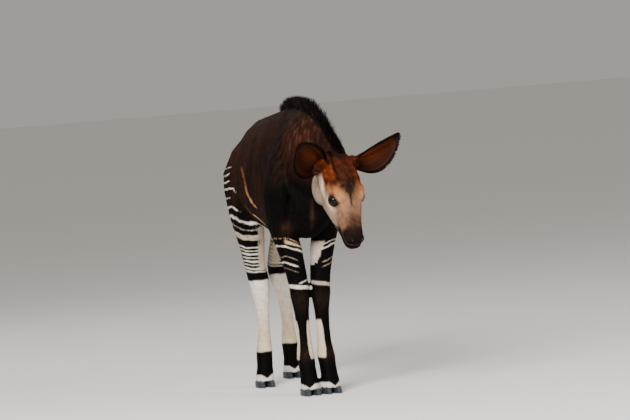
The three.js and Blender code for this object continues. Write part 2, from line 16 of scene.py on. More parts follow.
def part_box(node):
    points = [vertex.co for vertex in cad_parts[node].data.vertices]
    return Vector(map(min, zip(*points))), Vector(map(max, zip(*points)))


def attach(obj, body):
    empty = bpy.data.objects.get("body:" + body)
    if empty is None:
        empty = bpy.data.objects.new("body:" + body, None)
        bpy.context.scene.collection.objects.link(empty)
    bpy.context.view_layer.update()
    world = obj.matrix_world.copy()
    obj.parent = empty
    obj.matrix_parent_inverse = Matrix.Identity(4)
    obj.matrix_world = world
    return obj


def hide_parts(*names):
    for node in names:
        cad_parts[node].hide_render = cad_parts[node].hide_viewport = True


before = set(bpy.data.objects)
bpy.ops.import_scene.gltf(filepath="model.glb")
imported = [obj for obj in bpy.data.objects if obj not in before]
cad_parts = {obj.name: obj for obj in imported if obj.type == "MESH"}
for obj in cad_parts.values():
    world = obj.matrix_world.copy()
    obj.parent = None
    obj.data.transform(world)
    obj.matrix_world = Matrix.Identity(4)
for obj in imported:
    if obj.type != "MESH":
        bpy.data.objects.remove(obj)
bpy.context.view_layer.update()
random = np.random.default_rng(11)

# %% [markdown]
# All places below are written in millimetres from one point on the ground, midway between the two
# front feet, which is how the calf was measured. The front claws say where that point lies in the
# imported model, so nothing has to be moved if the model's box changes.

# %% The calf's own millimetres
TOE_MIDDLE_X, TOE_Y = 5.0, -17.5
toes = [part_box(f"hoof_front_{side}_{claw}") for side in ("right", "left") for claw in ("outer", "inner")]
toe_x = np.mean([(low.x + high.x) / 2 for low, high in toes])
toe_y = min(low.y for low, high in toes)
ORIGIN = np.array([toe_x * 1000 - TOE_MIDDLE_X, toe_y * 1000 - TOE_Y, 0.0])


def to_calf(points):
    """Metres in the model to millimetres in the calf's own frame."""
    return np.asarray(points, float) * 1000 - ORIGIN


def to_model(points):
    return (np.asarray(points, float) + ORIGIN) / 1000


print("calf origin in the model, mm:", ORIGIN.round(1))

# %% [markdown]
# The head has a frame of its own, because its features are measured along the face: left, forward
# towards the nose, and up out of the forehead. Its origin is the crown, between the ears.

# %% The head's frame
HEAD_PITCH, HEAD_YAW = radians(72), radians(18)
CROWN = np.array([43.0, -262.0, 703.0])
EYE_PLACE = np.array([41.0, 124.0, -33.0])
EYE_LOOK = np.array([0.9, 0.34, 0.25])
HEAD_AXES = np.array([
    [cos(HEAD_YAW), sin(HEAD_YAW), 0],
    [sin(HEAD_YAW) * cos(HEAD_PITCH), -cos(HEAD_YAW) * cos(HEAD_PITCH), -sin(HEAD_PITCH)],
    [sin(HEAD_YAW) * sin(HEAD_PITCH), -cos(HEAD_YAW) * sin(HEAD_PITCH), cos(HEAD_PITCH)],
])


def on_head(points):
    """Left, forward and up of each point in the head's frame."""
    return (np.asarray(points) - CROWN) @ HEAD_AXES.T


def off_head(local):
    return np.asarray(local) @ HEAD_AXES + CROWN


eyes = [to_calf([(low + high) / 2])[0] for low, high in (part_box("eye_right"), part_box("eye_left"))]
print("eyes lie at, in the head's frame:", [on_head(eye).round(0).tolist() for eye in eyes])

# %% [markdown]
# Small helpers: a smooth step, a soft bump, and a ripple made of a few sine waves, which bends the
# edges of the markings as a real coat does and comes out the same on every run.


# %% Smooth steps and ripples
def step(value, low, high):
    t = np.clip((value - low) / (high - low), 0, 1)
    return t * t * (3 - 2 * t)


def bump(points, centre, radii):
    """1 at the centre, falling softly to 0 about two radii away."""
    return np.exp(-np.sum(((points - np.array(centre)) / np.array(radii)) ** 2, axis=-1))


def ripple(points, length, seed):
    """A smooth wavy number from about -1 to 1 at each point, its waves about this long."""
    waves = np.random.default_rng(seed)
    total = 0
    for _ in range(5):
        direction = waves.normal(size=3)
        direction *= 2 * pi / (length * waves.uniform(0.7, 1.6) * np.linalg.norm(direction))
        total = total + np.sin(points @ direction + waves.uniform(0, 2 * pi))
    return total / 3


def streaky(points, length, seed, upright):
    """A ripple whose heights are shrunk by upright, so that its waves run down as long streaks."""
    return ripple(points * np.array([1, 1, upright]), length, seed)


def unit(vectors):
    return vectors / np.maximum(np.linalg.norm(vectors, axis=-1, keepdims=True), 1e-9)


def linear(hex_colour):
    """A screen colour such as #d9cfc4 as linear light."""
    c = np.array([int(hex_colour[i:i + 2], 16) for i in (1, 3, 5)]) / 255
    return np.where(c <= 0.04045, c / 12.92, ((c + 0.055) / 1.055) ** 2.4)


# %% [markdown]
# ## Camera, floor and light
#
# The photo is taken from a little right of the calf's nose, near its own height, with a long lens
# and the camera tipped a few degrees. Its place was fitted to where toes, withers, eyes and ears lie
# in the picture, and is kept in the calf's own millimetres.

# %% Camera
CAMERA_HEIGHT, CAMERA_DISTANCE, CAMERA_ACROSS = 980.0, 9520.0, -22.0
CAMERA_TURN, CAMERA_ROLL, CAMERA_DIP = radians(15), radians(4.5), radians(2.65)
LENS_MM = 187.2


def aim_camera():
    across = np.array([cos(CAMERA_TURN), -sin(CAMERA_TURN), 0])
    away = np.array([sin(CAMERA_TURN), cos(CAMERA_TURN), 0])
    place = -CAMERA_ACROSS * across - CAMERA_DISTANCE * away + np.array([0, 0, CAMERA_HEIGHT])
    look = cos(CAMERA_DIP) * away - sin(CAMERA_DIP) * np.array([0, 0, 1])
    up = np.cross(across, look)
    right = cos(CAMERA_ROLL) * across - sin(CAMERA_ROLL) * up
    up = np.cross(right, look)
    data = bpy.data.cameras.new("photo_camera")
    data.lens, data.sensor_width = LENS_MM, 36
    data.clip_end = 100
    camera = bpy.data.objects.new("photo_camera", data)
    turn = Matrix((right, up, -look)).transposed().to_4x4()
    camera.matrix_world = Matrix.Translation(to_model(place)) @ turn
    bpy.context.collection.objects.link(camera)
    bpy.context.scene.camera = camera


aim_camera()

# %% [markdown]
# A finish is a Principled shader whose colours are given as screen colours. Nodes are added by one
# function that takes any kind of node, its settings and its links. Meshes come from plain arrays,
# because a coat of some hundred thousand tufts would be slow to build face by face.


# %% Materials, nodes and meshes
def material(name, colour=None, roughness=0.6, specular=0.5):
    made = bpy.data.materials.new(name)
    made.use_nodes = True
    shader = made.node_tree.nodes["Principled BSDF"]
    if colour:
        shader.inputs["Base Color"].default_value = (*linear(colour), 1)
    shader.inputs["Roughness"].default_value = roughness
    shader.inputs["Specular IOR Level"].default_value = specular
    return made


def add_node(made, kind, links=(), **settings):
    """Adds a node, sets its inputs or properties by name, and links (from node, output, input)."""
    node = made.node_tree.nodes.new(kind)
    for key, value in settings.items():
        if hasattr(node, key):
            setattr(node, key, value)
        else:
            node.inputs[key.replace("_", " ").title()].default_value = value
    for source, output, target in links:
        made.node_tree.links.new(source.outputs[output], node.inputs[target])
    return node


def wire(made, source, output, socket):
    shader = made.node_tree.nodes["Principled BSDF"]
    made.node_tree.links.new(source.outputs[output], shader.inputs[socket])


def mesh_object(name, points, faces, materials=(), smooth=True):
    """A mesh object from points in calf millimetres and faces that all have as many corners."""
    faces = np.asarray(faces, np.int32)
    mesh = bpy.data.meshes.new(name)
    mesh.vertices.add(len(points))
    mesh.vertices.foreach_set("co", to_model(points).ravel())
    mesh.loops.add(faces.size)
    mesh.loops.foreach_set("vertex_index", faces.ravel())
    mesh.polygons.add(len(faces))
    mesh.polygons.foreach_set("loop_start", np.arange(0, faces.size, faces.shape[1], dtype=np.int32))
    mesh.update(calc_edges=True)
    for each in materials:
        mesh.materials.append(each)
    if smooth:
        mesh.shade_smooth()
    made = bpy.data.objects.new(name, mesh)
    bpy.context.collection.objects.link(made)
    return made


# %% [markdown]
# The floor is a wide matt sheet. A large soft lamp stands high to the camera's left, weaker ones to
# its right and behind the calf, and a pale sky fills the shadows, as on an overcast day.

# %% Floor and light
FLOOR = 60000.0
SKY_STRENGTH = 0.45
LIGHT_AIM = [0, 100, 550]
LIGHTS = [
    ("key_light", (-2400, -3200, 3000), 2.2, 360),
    ("fill_light", (2800, -2600, 1800), 2.4, 70),
    ("back_light", (-800, 3000, 3000), 2.4, 30),
]


def studio():
    corners = [(-FLOOR, -FLOOR, 0), (FLOOR, -FLOOR, 0), (FLOOR, FLOOR, 0), (-FLOOR, FLOOR, 0)]
    matt = material("pale_floor", "#f5f2ef", 0.95, 0.1)
    mesh_object("studio_floor", corners, [(0, 1, 2, 3)], [matt], smooth=False)
    world = bpy.data.worlds.new("studio")
    world.use_nodes = True
    sky = world.node_tree.nodes["Background"]
    sky.inputs["Color"].default_value = (*linear("#f1ede6"), 1)
    sky.inputs["Strength"].default_value = SKY_STRENGTH
    bpy.context.scene.world = world
    for name, place, size, watts in LIGHTS:
        data = bpy.data.lights.new(name, "AREA")
        data.energy, data.size = watts, size
        lamp = bpy.data.objects.new(name, data)
        aim = Vector(to_model(LIGHT_AIM)) - Vector(to_model(place))
        turn = aim.to_track_quat("-Z", "Y").to_matrix().to_4x4()
        lamp.matrix_world = Matrix.Translation(to_model(place)) @ turn
        bpy.context.collection.objects.link(lamp)


studio()
print("camera, floor and", len(LIGHTS), "lights")

# %% [markdown]
# Two lines run through the calf: the crest that the mane grows from and the core of the tail. Each
# is a smooth curve through a few places, and a helper finds how far along it a point lies.


# %% Crest and tail
def curve(places, count):
    """Points at even steps of a smooth curve through the places."""
    keys = np.array(places, float)
    keys = np.vstack([2 * keys[0] - keys[1], keys, 2 * keys[-1] - keys[-2]])
    fine = []
    for a, b, c, d in zip(keys, keys[1:], keys[2:], keys[3:]):
        for t in np.linspace(0, 1, 40, endpoint=False):
            fine.append(0.5 * (2 * b + (c - a) * t + (2 * a - 5 * b + 4 * c - d) * t**2
                               + (3 * b - a - 3 * c + d) * t**3))
    fine = np.array(fine + [keys[-2]])
    run = np.r_[0, np.cumsum(np.linalg.norm(np.diff(fine, axis=0), axis=1))]
    even = np.linspace(0, run[-1], count)
    return np.stack([np.interp(even, run, fine[:, k]) for k in range(3)], 1)


def near(line, points):
    """Share along the line, offset from it and distance to it, of the line's nearest place."""
    nearest = np.empty(len(points), int)
    for i in range(0, len(points), 20000):
        gap = points[i:i + 20000, None] - line[None]
        nearest[i:i + 20000] = np.argmin(np.einsum("ijk,ijk->ij", gap, gap), 1)
    out = points - line[nearest]
    return nearest / (len(line) - 1), out, np.linalg.norm(out, axis=1)


def along(line, share):
    """Place and direction at a share of a line."""
    spot = np.clip(share, 0, 1) * (len(line) - 1)
    low = np.clip(spot.astype(int), 0, len(line) - 2)
    part = (spot - low)[:, None]
    slope = unit(np.gradient(line, axis=0))
    direction = unit(slope[low] * (1 - part) + slope[low + 1] * part)
    return line[low] * (1 - part) + line[low + 1] * part, direction


def crest_up(share):
    """Which way the mane stands: square to the crest and upright across it."""
    return unit(np.cross(along(CREST, share)[1], [1.0, 0, 0]))


# %% [markdown]
# ## One skin
#
# A real hide has no seams. It could be joined from the solids with booleans, but their thin cuts
# would show, so the solids of the flesh are swollen a hair and wrapped together in one even net.

# %% Wrap the flesh
FLESH = ["torso", "neck", "head", "tail", "leg_front_right", "leg_front_left", "leg_hind_right",
         "leg_hind_left", "eye_right", "eye_left"]
SKIN_NET = 3.1
SWELLING = 0.6
COAT_DEPTH = 2.6
MANE_HEIGHT = 34.0
MANE_CORE_HALF = 9.5
CREST = curve([(0, 185, 834), (0, 130, 839), (0, 62, 841), (2, -20, 840), (8, -90, 830), (16, -142, 810),
               (26, -180, 780), (37, -213, 739), (45, -240, 706)], 160)
TAIL = curve([(0, 592, 724), (0, 625, 722), (0, 650, 703), (0, 664, 670), (-1, 671, 630), (-2, 674, 580),
              (-3, 674, 517)], 100)


def mane_rise(share):
    """Share of the mane's full height: low behind the withers, full before them, lower at the poll."""
    return np.minimum(1, 0.45 + share * 2.6) * (1 - 0.5 * np.maximum(0, (share - 0.55) / 0.45))


def bare_of_locks(name, points):
    """The solids carry locks of mane and tail. The skin keeps only the low crest under them."""
    if name == "tail":
        share, out, radius = near(TAIL, points)
        core = np.where(share > 0.6, 8.0 - 5 * (share - 0.6), 30.0)
        return np.where((radius > core)[:, None], TAIL[(share * (len(TAIL) - 1)).astype(int)]
                        + unit(out) * core[:, None], points)
    if name not in ("torso", "neck", "head"):
        return points
    share, out, _ = near(CREST, points)
    up = crest_up(share)
    high = np.sum(out * up, 1)
    side = np.abs(out[:, 0])
    ridge = 0.3 * MANE_HEIGHT * mane_rise(share) * np.clip(1 - (side / MANE_CORE_HALF) ** 2, 0, 1)
    roof = ridge * np.clip(9 * share, 0, 1) * np.clip(9 * (1 - share), 0, 1) - 0.3 * side - 1
    over = np.where(side < 26, np.maximum(high - roof, 0), 0)
    return points - up * over[:, None]


def node_solid(name):
    """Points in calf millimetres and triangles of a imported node, its shared corners merged."""
    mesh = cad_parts[name].data
    place = np.empty(len(mesh.vertices) * 3)
    mesh.vertices.foreach_get("co", place)
    own, index = np.unique(place.reshape(-1, 3).round(6), axis=0, return_inverse=True)
    mesh.calc_loop_triangles()
    tris = np.empty(len(mesh.loop_triangles) * 3, int)
    mesh.loop_triangles.foreach_get("vertices", tris)
    return to_calf(own), index.reshape(-1)[tris].reshape(-1, 3)


def swell(points, tris, amount):
    flat = np.cross(points[tris[:, 1]] - points[tris[:, 0]], points[tris[:, 2]] - points[tris[:, 0]])
    normal = np.zeros_like(points)
    for corner in range(3):
        np.add.at(normal, tris[:, corner], flat)
    return points + unit(normal) * amount


def wrap(made, net_mm):
    """Puts one even closed net in place of an object's mesh."""
    net = made.modifiers.new("net", "REMESH")
    net.mode = "VOXEL"
    net.voxel_size = net_mm / 1000
    solid = bpy.data.meshes.new_from_object(made.evaluated_get(bpy.context.evaluated_depsgraph_get()))
    made.modifiers.clear()
    made.data = solid
    solid.shade_smooth()


def wrap_flesh():
    points, faces, count = [], [], 0
    for name in FLESH:
        own, tris = node_solid(name)
        points.append(swell(bare_of_locks(name, own), tris, SWELLING))
        faces.append(tris + count)
        count += len(own)
    made = mesh_object("skin", np.vstack(points), np.vstack(faces))
    wrap(made, SKIN_NET)
    return made


def mesh_points(obj):
    flat = np.empty(len(obj.data.vertices) * 3)
    obj.data.vertices.foreach_get("co", flat)
    return to_calf(flat.reshape(-1, 3))


def set_points(obj, points):
    obj.data.vertices.foreach_set("co", to_model(points).ravel())
    obj.data.update()


def mesh_normals(obj):
    flat = np.empty(len(obj.data.vertices) * 3)
    obj.data.vertices.foreach_get("normal", flat)
    return flat.reshape(-1, 3)


skin = wrap_flesh()
points = mesh_points(skin)
print("skin:", len(points), "points")

# %% [markdown]
# Where a point lies decides how it is treated, so a few soft masks come first: 1 on the head, on
# the legs, on the tail, and 0 elsewhere.


# %% Masks for the parts of the body
def head_mask(points):
    cut = (points - np.array([20, -175, 654])) @ unit(np.array([0.12, -0.777, -0.63]))
    return step(cut, -14, 14) * step(-points[:, 1], 60, 120)


def fore_mask(points):
    return step(-points[:, 2], -470, -440) * step(-points[:, 1], -220, -190)


def hind_mask(points):
    slope = points[:, 2] - 0.22 * (points[:, 1] - 440)
    return step(-slope, -560, -500) * step(points[:, 1], 200, 240)


def tail_mask(points):
    behind = step(points[:, 1], 646, 652) * step(-np.abs(points[:, 0]), -24, -18)
    return behind * step(points[:, 2], 430, 440)


# %% [markdown]
# The wrapped net still shows the solids' flat faces. Each point is moved towards the mean of its
# neighbours and nearly as far back again, many times, which evens the net and keeps the form's size:
# longest on the trunk, less on the legs, least on the face. The skin then sinks by the coat's depth.


# %% Relax the net
TRUNK_ROUNDS, FACE_ROUNDS, LAST_ROUNDS = 160, 30, 6
PULL_IN, PUSH_OUT = 0.55, -0.565


def neighbours(obj):
    edges = np.empty(len(obj.data.edges) * 2, int)
    obj.data.edges.foreach_get("vertices", edges)
    edges = edges.reshape(-1, 2)
    both = np.vstack([edges, edges[:, ::-1]])
    return both[:, 0], both[:, 1], np.bincount(both[:, 0], minlength=len(obj.data.vertices))


def relax(points, links, rounds):
    """Evens the net without shrinking the form. Rounds says how many steps each point takes."""
    start, end, count = links
    for i in range(int(rounds.max())):
        push = (PULL_IN if i % 2 == 0 else PUSH_OUT) * (rounds > i)
        mean = np.stack([np.bincount(start, points[end, k], len(points)) for k in range(3)], 1)
        points = points + (mean / count[:, None] - points) * push[:, None]
    return points


links = neighbours(skin)
on_face = head_mask(points)
firm = np.maximum(on_face, 0.75 * np.maximum(fore_mask(points), hind_mask(points)))
points = relax(points, links, TRUNK_ROUNDS - (TRUNK_ROUNDS - FACE_ROUNDS) * firm)
set_points(skin, points)
points = points - mesh_normals(skin) * (COAT_DEPTH * (1 - 0.5 * on_face))[:, None]
print("relaxed, box", np.ptp(points, axis=0).round(0))

# %% [markdown]
# Small forms follow, as soft pushes along the skin: the shoulder blade and hip bone that show through
# a young animal's thin flesh, the hollow of the flank, faint ribs, and on the head the line of the
# mouth, the nostrils, the brow and the swellings where a male's horns would grow. A table of named
# places is easier to adjust than a sculpted mesh. Head places are left, forward and up from the crown.


# %% Muscle, bone and face
def head_half(points):
    """Head places with both sides folded onto the left."""
    local = on_head(points)
    return np.abs(local[:, 0]), local[:, 1], local[:, 2]


MOUTH_FORWARD = [170, 184, 210, 237, 250, 258, 266]
MOUTH_UP = [-47, -50, -54, -55, -52, -47, -44]


def mouth_line(forward):
    return np.interp(forward, MOUTH_FORWARD, MOUTH_UP)


FACE_FORMS = {
    "nostril": (-6.5, (20, 250, -39), (4.5, 7, 4.5)),
    "slit behind the nostril": (-3.0, (25, 239, -33), (3.5, 7, 4)),
    "wing of the nostril": (2.0, (27, 246, -30), (6, 9, 4)),
    "horn swelling": (2.6, (35, 74, 3), (9, 11, 12)),
    "brow": (1.6, (46, 108, -8), (12, 12, 8)),
    "hollow before the eye": (-1.4, (52, 152, -36), (16, 12, 9)),
    "groove of the nose": (-1.3, (0, 218, -20), (4, 26, 8)),
}
BODY_FORMS = {
    "shoulder blade": (3.2, (92, 20, 690), (60, 34, 100)),
    "hollow behind the shoulder": (-3.4, (104, 110, 640), (60, 30, 80)),
    "hip bone": (4.0, (78, 452, 778), (30, 34, 26)),
    "hollow of the flank": (-5.0, (108, 372, 716), (50, 48, 44)),
    "thigh": (2.4, (70, 540, 640), (40, 60, 80)),
    "inside of the forearm": (6.0, (6, -15, 460), (26, 60, 80)),
    "hollow before the shoulder": (-2.5, (60, -40, 690), (40, 26, 90)),
    "hollow behind the right shank": (-2.0, (60, 450, 250), (40, 14, 90)),
    "hollow behind the left shank": (-2.0, (70, 655, 250), (40, 14, 90)),
}
RIB_HEIGHT, RIB_SPACING = 0.35, 27


def raised(points, forms):
    """How far a table of forms lifts or sinks each point, in mm. Each has a push, a place and radii."""
    return sum(push * bump(points, place, radii) for push, place, radii in forms.values())


def sculpt(points, normals):
    x, f, up = head_half(points)
    folded = np.stack([x, f, up], 1)
    sides = np.stack([np.abs(points[:, 0]), points[:, 1], points[:, 2]], 1)
    from_mouth = up - mouth_line(f)
    lips = (1.3 * np.exp(-((from_mouth - 6.5) / 4.0) ** 2) + 0.9 * np.exp(-((from_mouth + 6.5) / 4.0) ** 2)
            - 2.8 * np.exp(-(from_mouth / 2.2) ** 2))
    face = raised(folded, FACE_FORMS) + lips * step(f, 168, 182)
    ribs = RIB_HEIGHT * np.sin(2 * pi * (points[:, 1] - 0.25 * points[:, 2]) / RIB_SPACING)
    body = raised(sides, BODY_FORMS) + ribs * bump(sides, (112, 235, 610), (50, 90, 90))
    on_head_now = head_mask(points)
    return points + normals * (face * on_head_now + body * (1 - on_head_now))[:, None]


# %% [markdown]
# Each eye opens as an almond on its ball, so the wrapped skin is taken back behind the ball there.
# The almond is given as angles from where the eye looks, and lids and lashes later follow its edge.

# %% Eye openings
EYE_RADIUS = 16.5
OPENING_HALF_LENGTH, OPENING_HALF_HEIGHT = 0.92, 0.66
OPENING_TILT = radians(-8)
SOCKET_EDGE, SOCKET_FULL, SOCKET_DEPTH = 1.45, 1.15, 2.5
TUFT_FREE = 1.42


def eye_axes(sign):
    """The ball's middle, where it looks, the line along the lids and the line up."""
    look = unit(EYE_LOOK * np.array([sign, 1, 1])) @ HEAD_AXES
    along_lids = unit(np.cross(np.array([0, 0, 1.0]) @ HEAD_AXES, look))
    tilt = OPENING_TILT * sign
    up = np.cross(look, along_lids)
    turned = cos(tilt) * along_lids + sin(tilt) * up
    return off_head(EYE_PLACE * np.array([sign, 1, 1])), look, turned, np.cross(look, turned)


def in_opening(p, sign):
    """Where a place lies in an eye's almond, under 1 inside it, and its offset from the ball's middle."""
    middle, look, line, up = eye_axes(sign)
    away = p - middle
    aim = unit(away)
    reach = np.hypot(aim @ line / OPENING_HALF_LENGTH, aim @ up / OPENING_HALF_HEIGHT)
    reach = np.where((aim @ look > 0) & (np.linalg.norm(away, axis=1) < 30), reach, 9.0)
    return reach, middle, away


def hollow_sockets(p):
    """Takes the skin back behind the eyeball's surface where the lids are open."""
    for sign in (-1, 1):
        reach, middle, away = in_opening(p, sign)
        far = np.linalg.norm(away, axis=1)
        sunk = np.minimum(far, EYE_RADIUS - SOCKET_DEPTH)
        amount = step(-reach, -SOCKET_EDGE, -SOCKET_FULL)
        p = middle + away * ((far + (sunk - far) * amount) / np.maximum(far, 1e-6))[:, None]
    return p


set_points(skin, points)
points = sculpt(points, mesh_normals(skin))
points = relax(points, links, np.full(len(points), LAST_ROUNDS))
points = hollow_sockets(points)
set_points(skin, points)
normals = mesh_normals(skin)
print("sculpted", len(points), "points")

# %% [markdown]
# ## Markings
#
# One function says what colour the coat has at any place. The skin and every tuft ask it, so both
# carry the same markings. Each marking is a mask between 0 and 1 worked out from the place on the
# body, and each mask paints its own hair colour over what lies below.


# %% Painting with masks
def paint(colour, amount, tint):
    """Lays a hair colour, given by its hex code or as one row a point, over what lies below."""
    tint = linear(tint) if isinstance(tint, str) else tint
    return colour + (tint - colour) * np.clip(amount, 0, 1)[:, None]


def band(value, middle, width, soft=1.6):
    return step(value, middle - width / 2 - soft, middle - width / 2 + soft) * step(
        -value, -middle - width / 2 - soft, -middle - width / 2 + soft)


def stroke(points, places, width):
    """A brush stroke down both flanks: places are rearward and upward, the ends taper."""
    line = curve([(0, y, z) for y, z in places], 60)
    flat = points * np.array([0.0, 1.0, 1.0])
    share, _, far = near(line, flat)
    reach = width / 2 * np.sin(pi * np.clip(0.08 + share * 0.9, 0, 1)) ** 0.5
    return step(-far, -reach - 1.5, -reach + 1.5)


BLACK, CHOCOLATE, UMBER, RED_BROWN_SHEEN = "#0b0807", "#1c110d", "#301b13", "#542a18"
WHITE, CREAM, MUZZLE = "#e2d8ca", "#d3b88f", "#1d1311"

# %% [markdown]
# Trunk and neck are chocolate brown. A reddish sheen is painted on the rump, along the back and
# behind the ears, and grey highlights in streaks over the top of the neck. Painted shade darkens
# the lower shoulder and makes chest and belly black. Long ripples down the body give the dark and
# light streaks of a velvety coat, and short ones over the shoulder the painted light and shade of
# its creases.


# %% The body's colours
def body_colour(p):
    x, y, z = np.abs(p[:, 0]), p[:, 1], p[:, 2]
    side = np.stack([x, y, z], 1)
    streak = streaky(p, 80, 3, 0.3)
    colour = np.tile(linear(CHOCOLATE), (len(p), 1))
    colour = paint(colour, 0.28 + 0.42 * streak, UMBER)
    fine = streaky(p, 13, 14, 0.12)
    colour = colour * (1 + 0.22 * fine)[:, None]
    # painted reddish sheen behind the ears, along the back and on the rump
    red = (bump(side, (40, -110, 745), (70, 95, 65)) + 0.7 * bump(side, (60, 500, 700), (110, 150, 120))
           + 0.4 * bump(side, (60, 250, 780), (110, 170, 60)))
    colour = paint(colour, 0.5 * red * (0.8 + 0.3 * ripple(p, 60, 4)), RED_BROWN_SHEEN)
    # painted grey highlights, in streaks, over the top of the neck
    grey_sheen = step(streaky(p, 24, 29, 0.3), 0.0, 0.8) * bump(side, (40, -120, 775), (75, 100, 70))
    colour = paint(colour, 0.55 * grey_sheen, "#5c473a")
    # painted light and shade of the creases over the shoulder
    fold_shading = np.sin(2 * pi * (0.85 * y + 0.35 * z + 9 * ripple(p, 70, 26)) / 24)
    crease_shading = 0.5 * fold_shading + 0.3 * streaky(p, 9, 27, 0.45)
    colour = colour * (1 + crease_shading * bump(side, (80, 0, 710), (70, 85, 105)))[:, None]
    # painted shade over the lower shoulder
    colour = paint(colour, 0.85 * bump(side, (84, 45, 650), (60, 75, 110)), "#191210")
    # painted shade: chest and belly made black where shade falls beneath the body
    breast_shade = bump(side, (20, -70, 545), (110, 75, 85))
    breast_shade = breast_shade + step(-z - 6 * streak, -650, -590) * step(-y, -90, -30)
    belly = bump(side, (0, 300, 480), (70, 260, 40)) + step(-z, -520, -470)
    colour = paint(colour, 0.95 * (breast_shade + belly), BLACK)
    colour = paint(colour, 0.5 * bump(p, (-68, -8, 498), (16, 26, 22)), "#4a331f")
    return paint(colour, 0.5 * bump(p, (-5, -66, 535), (6, 26, 34)), "#56382a")


# %% [markdown]
# White bands cross the black haunch. Each is a height, a width and how far back it starts, bent
# round the thigh by shifting the height it is measured at. Finer ones follow above the hock, and
# below it the shank is white down to a black fetlock. The left leg takes the same bands further back.


# %% The haunch and hind legs
def leg_middle(z, left):
    """How far back the middle of a hind leg lies at each height."""
    right_leg = np.interp(z, [0, 60, 200, 325, 400, 475, 530], [398, 402, 419, 426, 412, 383, 358])
    left_leg = np.interp(z, [0, 60, 200, 325, 400, 475, 530], [598, 601, 617, 630, 612, 545, 500])
    return np.where(left, left_leg, right_leg)


HAUNCH_BANDS = [(672, 3, 452), (650, 3.5, 448), (628, 3.5, 442), (607, 4.5, 384), (580, 3, 434),
                (551, 5.5, 344), (523, 8.5, 0), (499, 2.5, 300)]
FINE_BANDS = [(438.5, 5), (427, 3.5), (415, 5.5), (402, 4), (390, 6), (378, 4.5), (366, 6), (355, 5)]


def hind_colour(colour, p, n):
    x, y, z = p.T
    left = x > 0
    back = y - np.where(left, leg_middle(z, True) - leg_middle(z, False), 0)
    wave = 1.5 * ripple(p, 48, 5) + 0.5 * ripple(p, 14, 6)
    bend = np.interp(z, [500, 540, 600], [0, 370, 408])
    forward = 0.2 * np.maximum(420 - back, 0) + 0.6 * np.maximum(bend - back, 0)
    level = z + forward + 0.08 * np.maximum(back - 440, 0) + wave
    outside = step(np.abs(x), 20, 40) * step(y, 215, 260)
    zone = outside * step(-z, -700, -670) * step(z, 346, 350)
    colour = paint(colour, outside * step(-z, -585, -520) * step(y, 240, 330), BLACK)
    colour = paint(colour, 0.6 * outside * step(-z, -700, -640) * step(y, 400, 470), BLACK)
    for middle, width, start in HAUNCH_BANDS:
        swelling = width * (1 + 0.25 * ripple(p, 60, 16))
        shown = band(level, middle, swelling, 1.0) * step(back, start, start + 22)
        colour = paint(colour, (0.6 if width < 3.2 else 0.95) * zone * shown, WHITE)
    pale = band(level, 473, 17, 2)
    colour = paint(colour, 0.95 * zone * pale, "#c9b8a2")
    pencilled = step(ripple(p * np.array([0.2, 0.2, 1]), 9, 17), 0.2, 0.7)
    colour = paint(colour, 0.55 * zone * pale * pencilled, "#6d5948")
    for middle, width in FINE_BANDS:
        swelling = width * (1 + 0.3 * ripple(p, 34, 18))
        colour = paint(colour, 0.95 * zone * band(level, middle, swelling, 1.1), WHITE)
    inner = np.where(left, -n[:, 0], n[:, 0]) * 0.78 - n[:, 1] * 0.62
    pale = outside * step(-z, -516, -500) * step(z, 348, 362) * step(inner, 0.55, 0.78)
    slash = band(z + 0.6 * (y - leg_middle(z, left)), 420, 26, 4) * band(inner, 0.8, 0.12, 0.05)
    colour = paint(colour, pale * (1 - 0.9 * slash), "#c0ae9b")
    shank = outside * step(-z, -326 - wave, -320 - wave)
    colour = paint(colour, outside * band(z + 0.8 * wave, 334, 27, 2), BLACK)
    colour = paint(colour, shank, WHITE)
    colour = paint(colour, 0.7 * shank * bump(p * np.array([0, 0, 1.0]), (0, 0, 150), (9, 9, 70)), CREAM)
    colour = paint(colour, shank * step(-z, -110 - wave, -104 - wave), BLACK)
    lobe = 0.7 * np.minimum(np.abs(np.abs(x) - np.where(left, 70, 69)), 16)
    return paint(colour, shank * step(-z, -30 - lobe, -26 - lobe), WHITE)


# %% [markdown]
# The forelegs are black with a few white bands above the knee, a white garter at it, and white sides
# to the cannon. The two legs differ, so each has its own table: height, width and hair colour.


# %% The forelegs
RIGHT_BANDS = [(446, 9, CREAM), (456, 2, CREAM), (431.5, 5, WHITE), (402, 2, "#a79787"), (383.5, 4.5, WHITE),
               (367, 1.6, "#8f8071")]
LEFT_BANDS = [(440, 3, WHITE), (427, 5, WHITE), (389, 2.4, "#a79787"), (375.5, 2, "#a79787")]


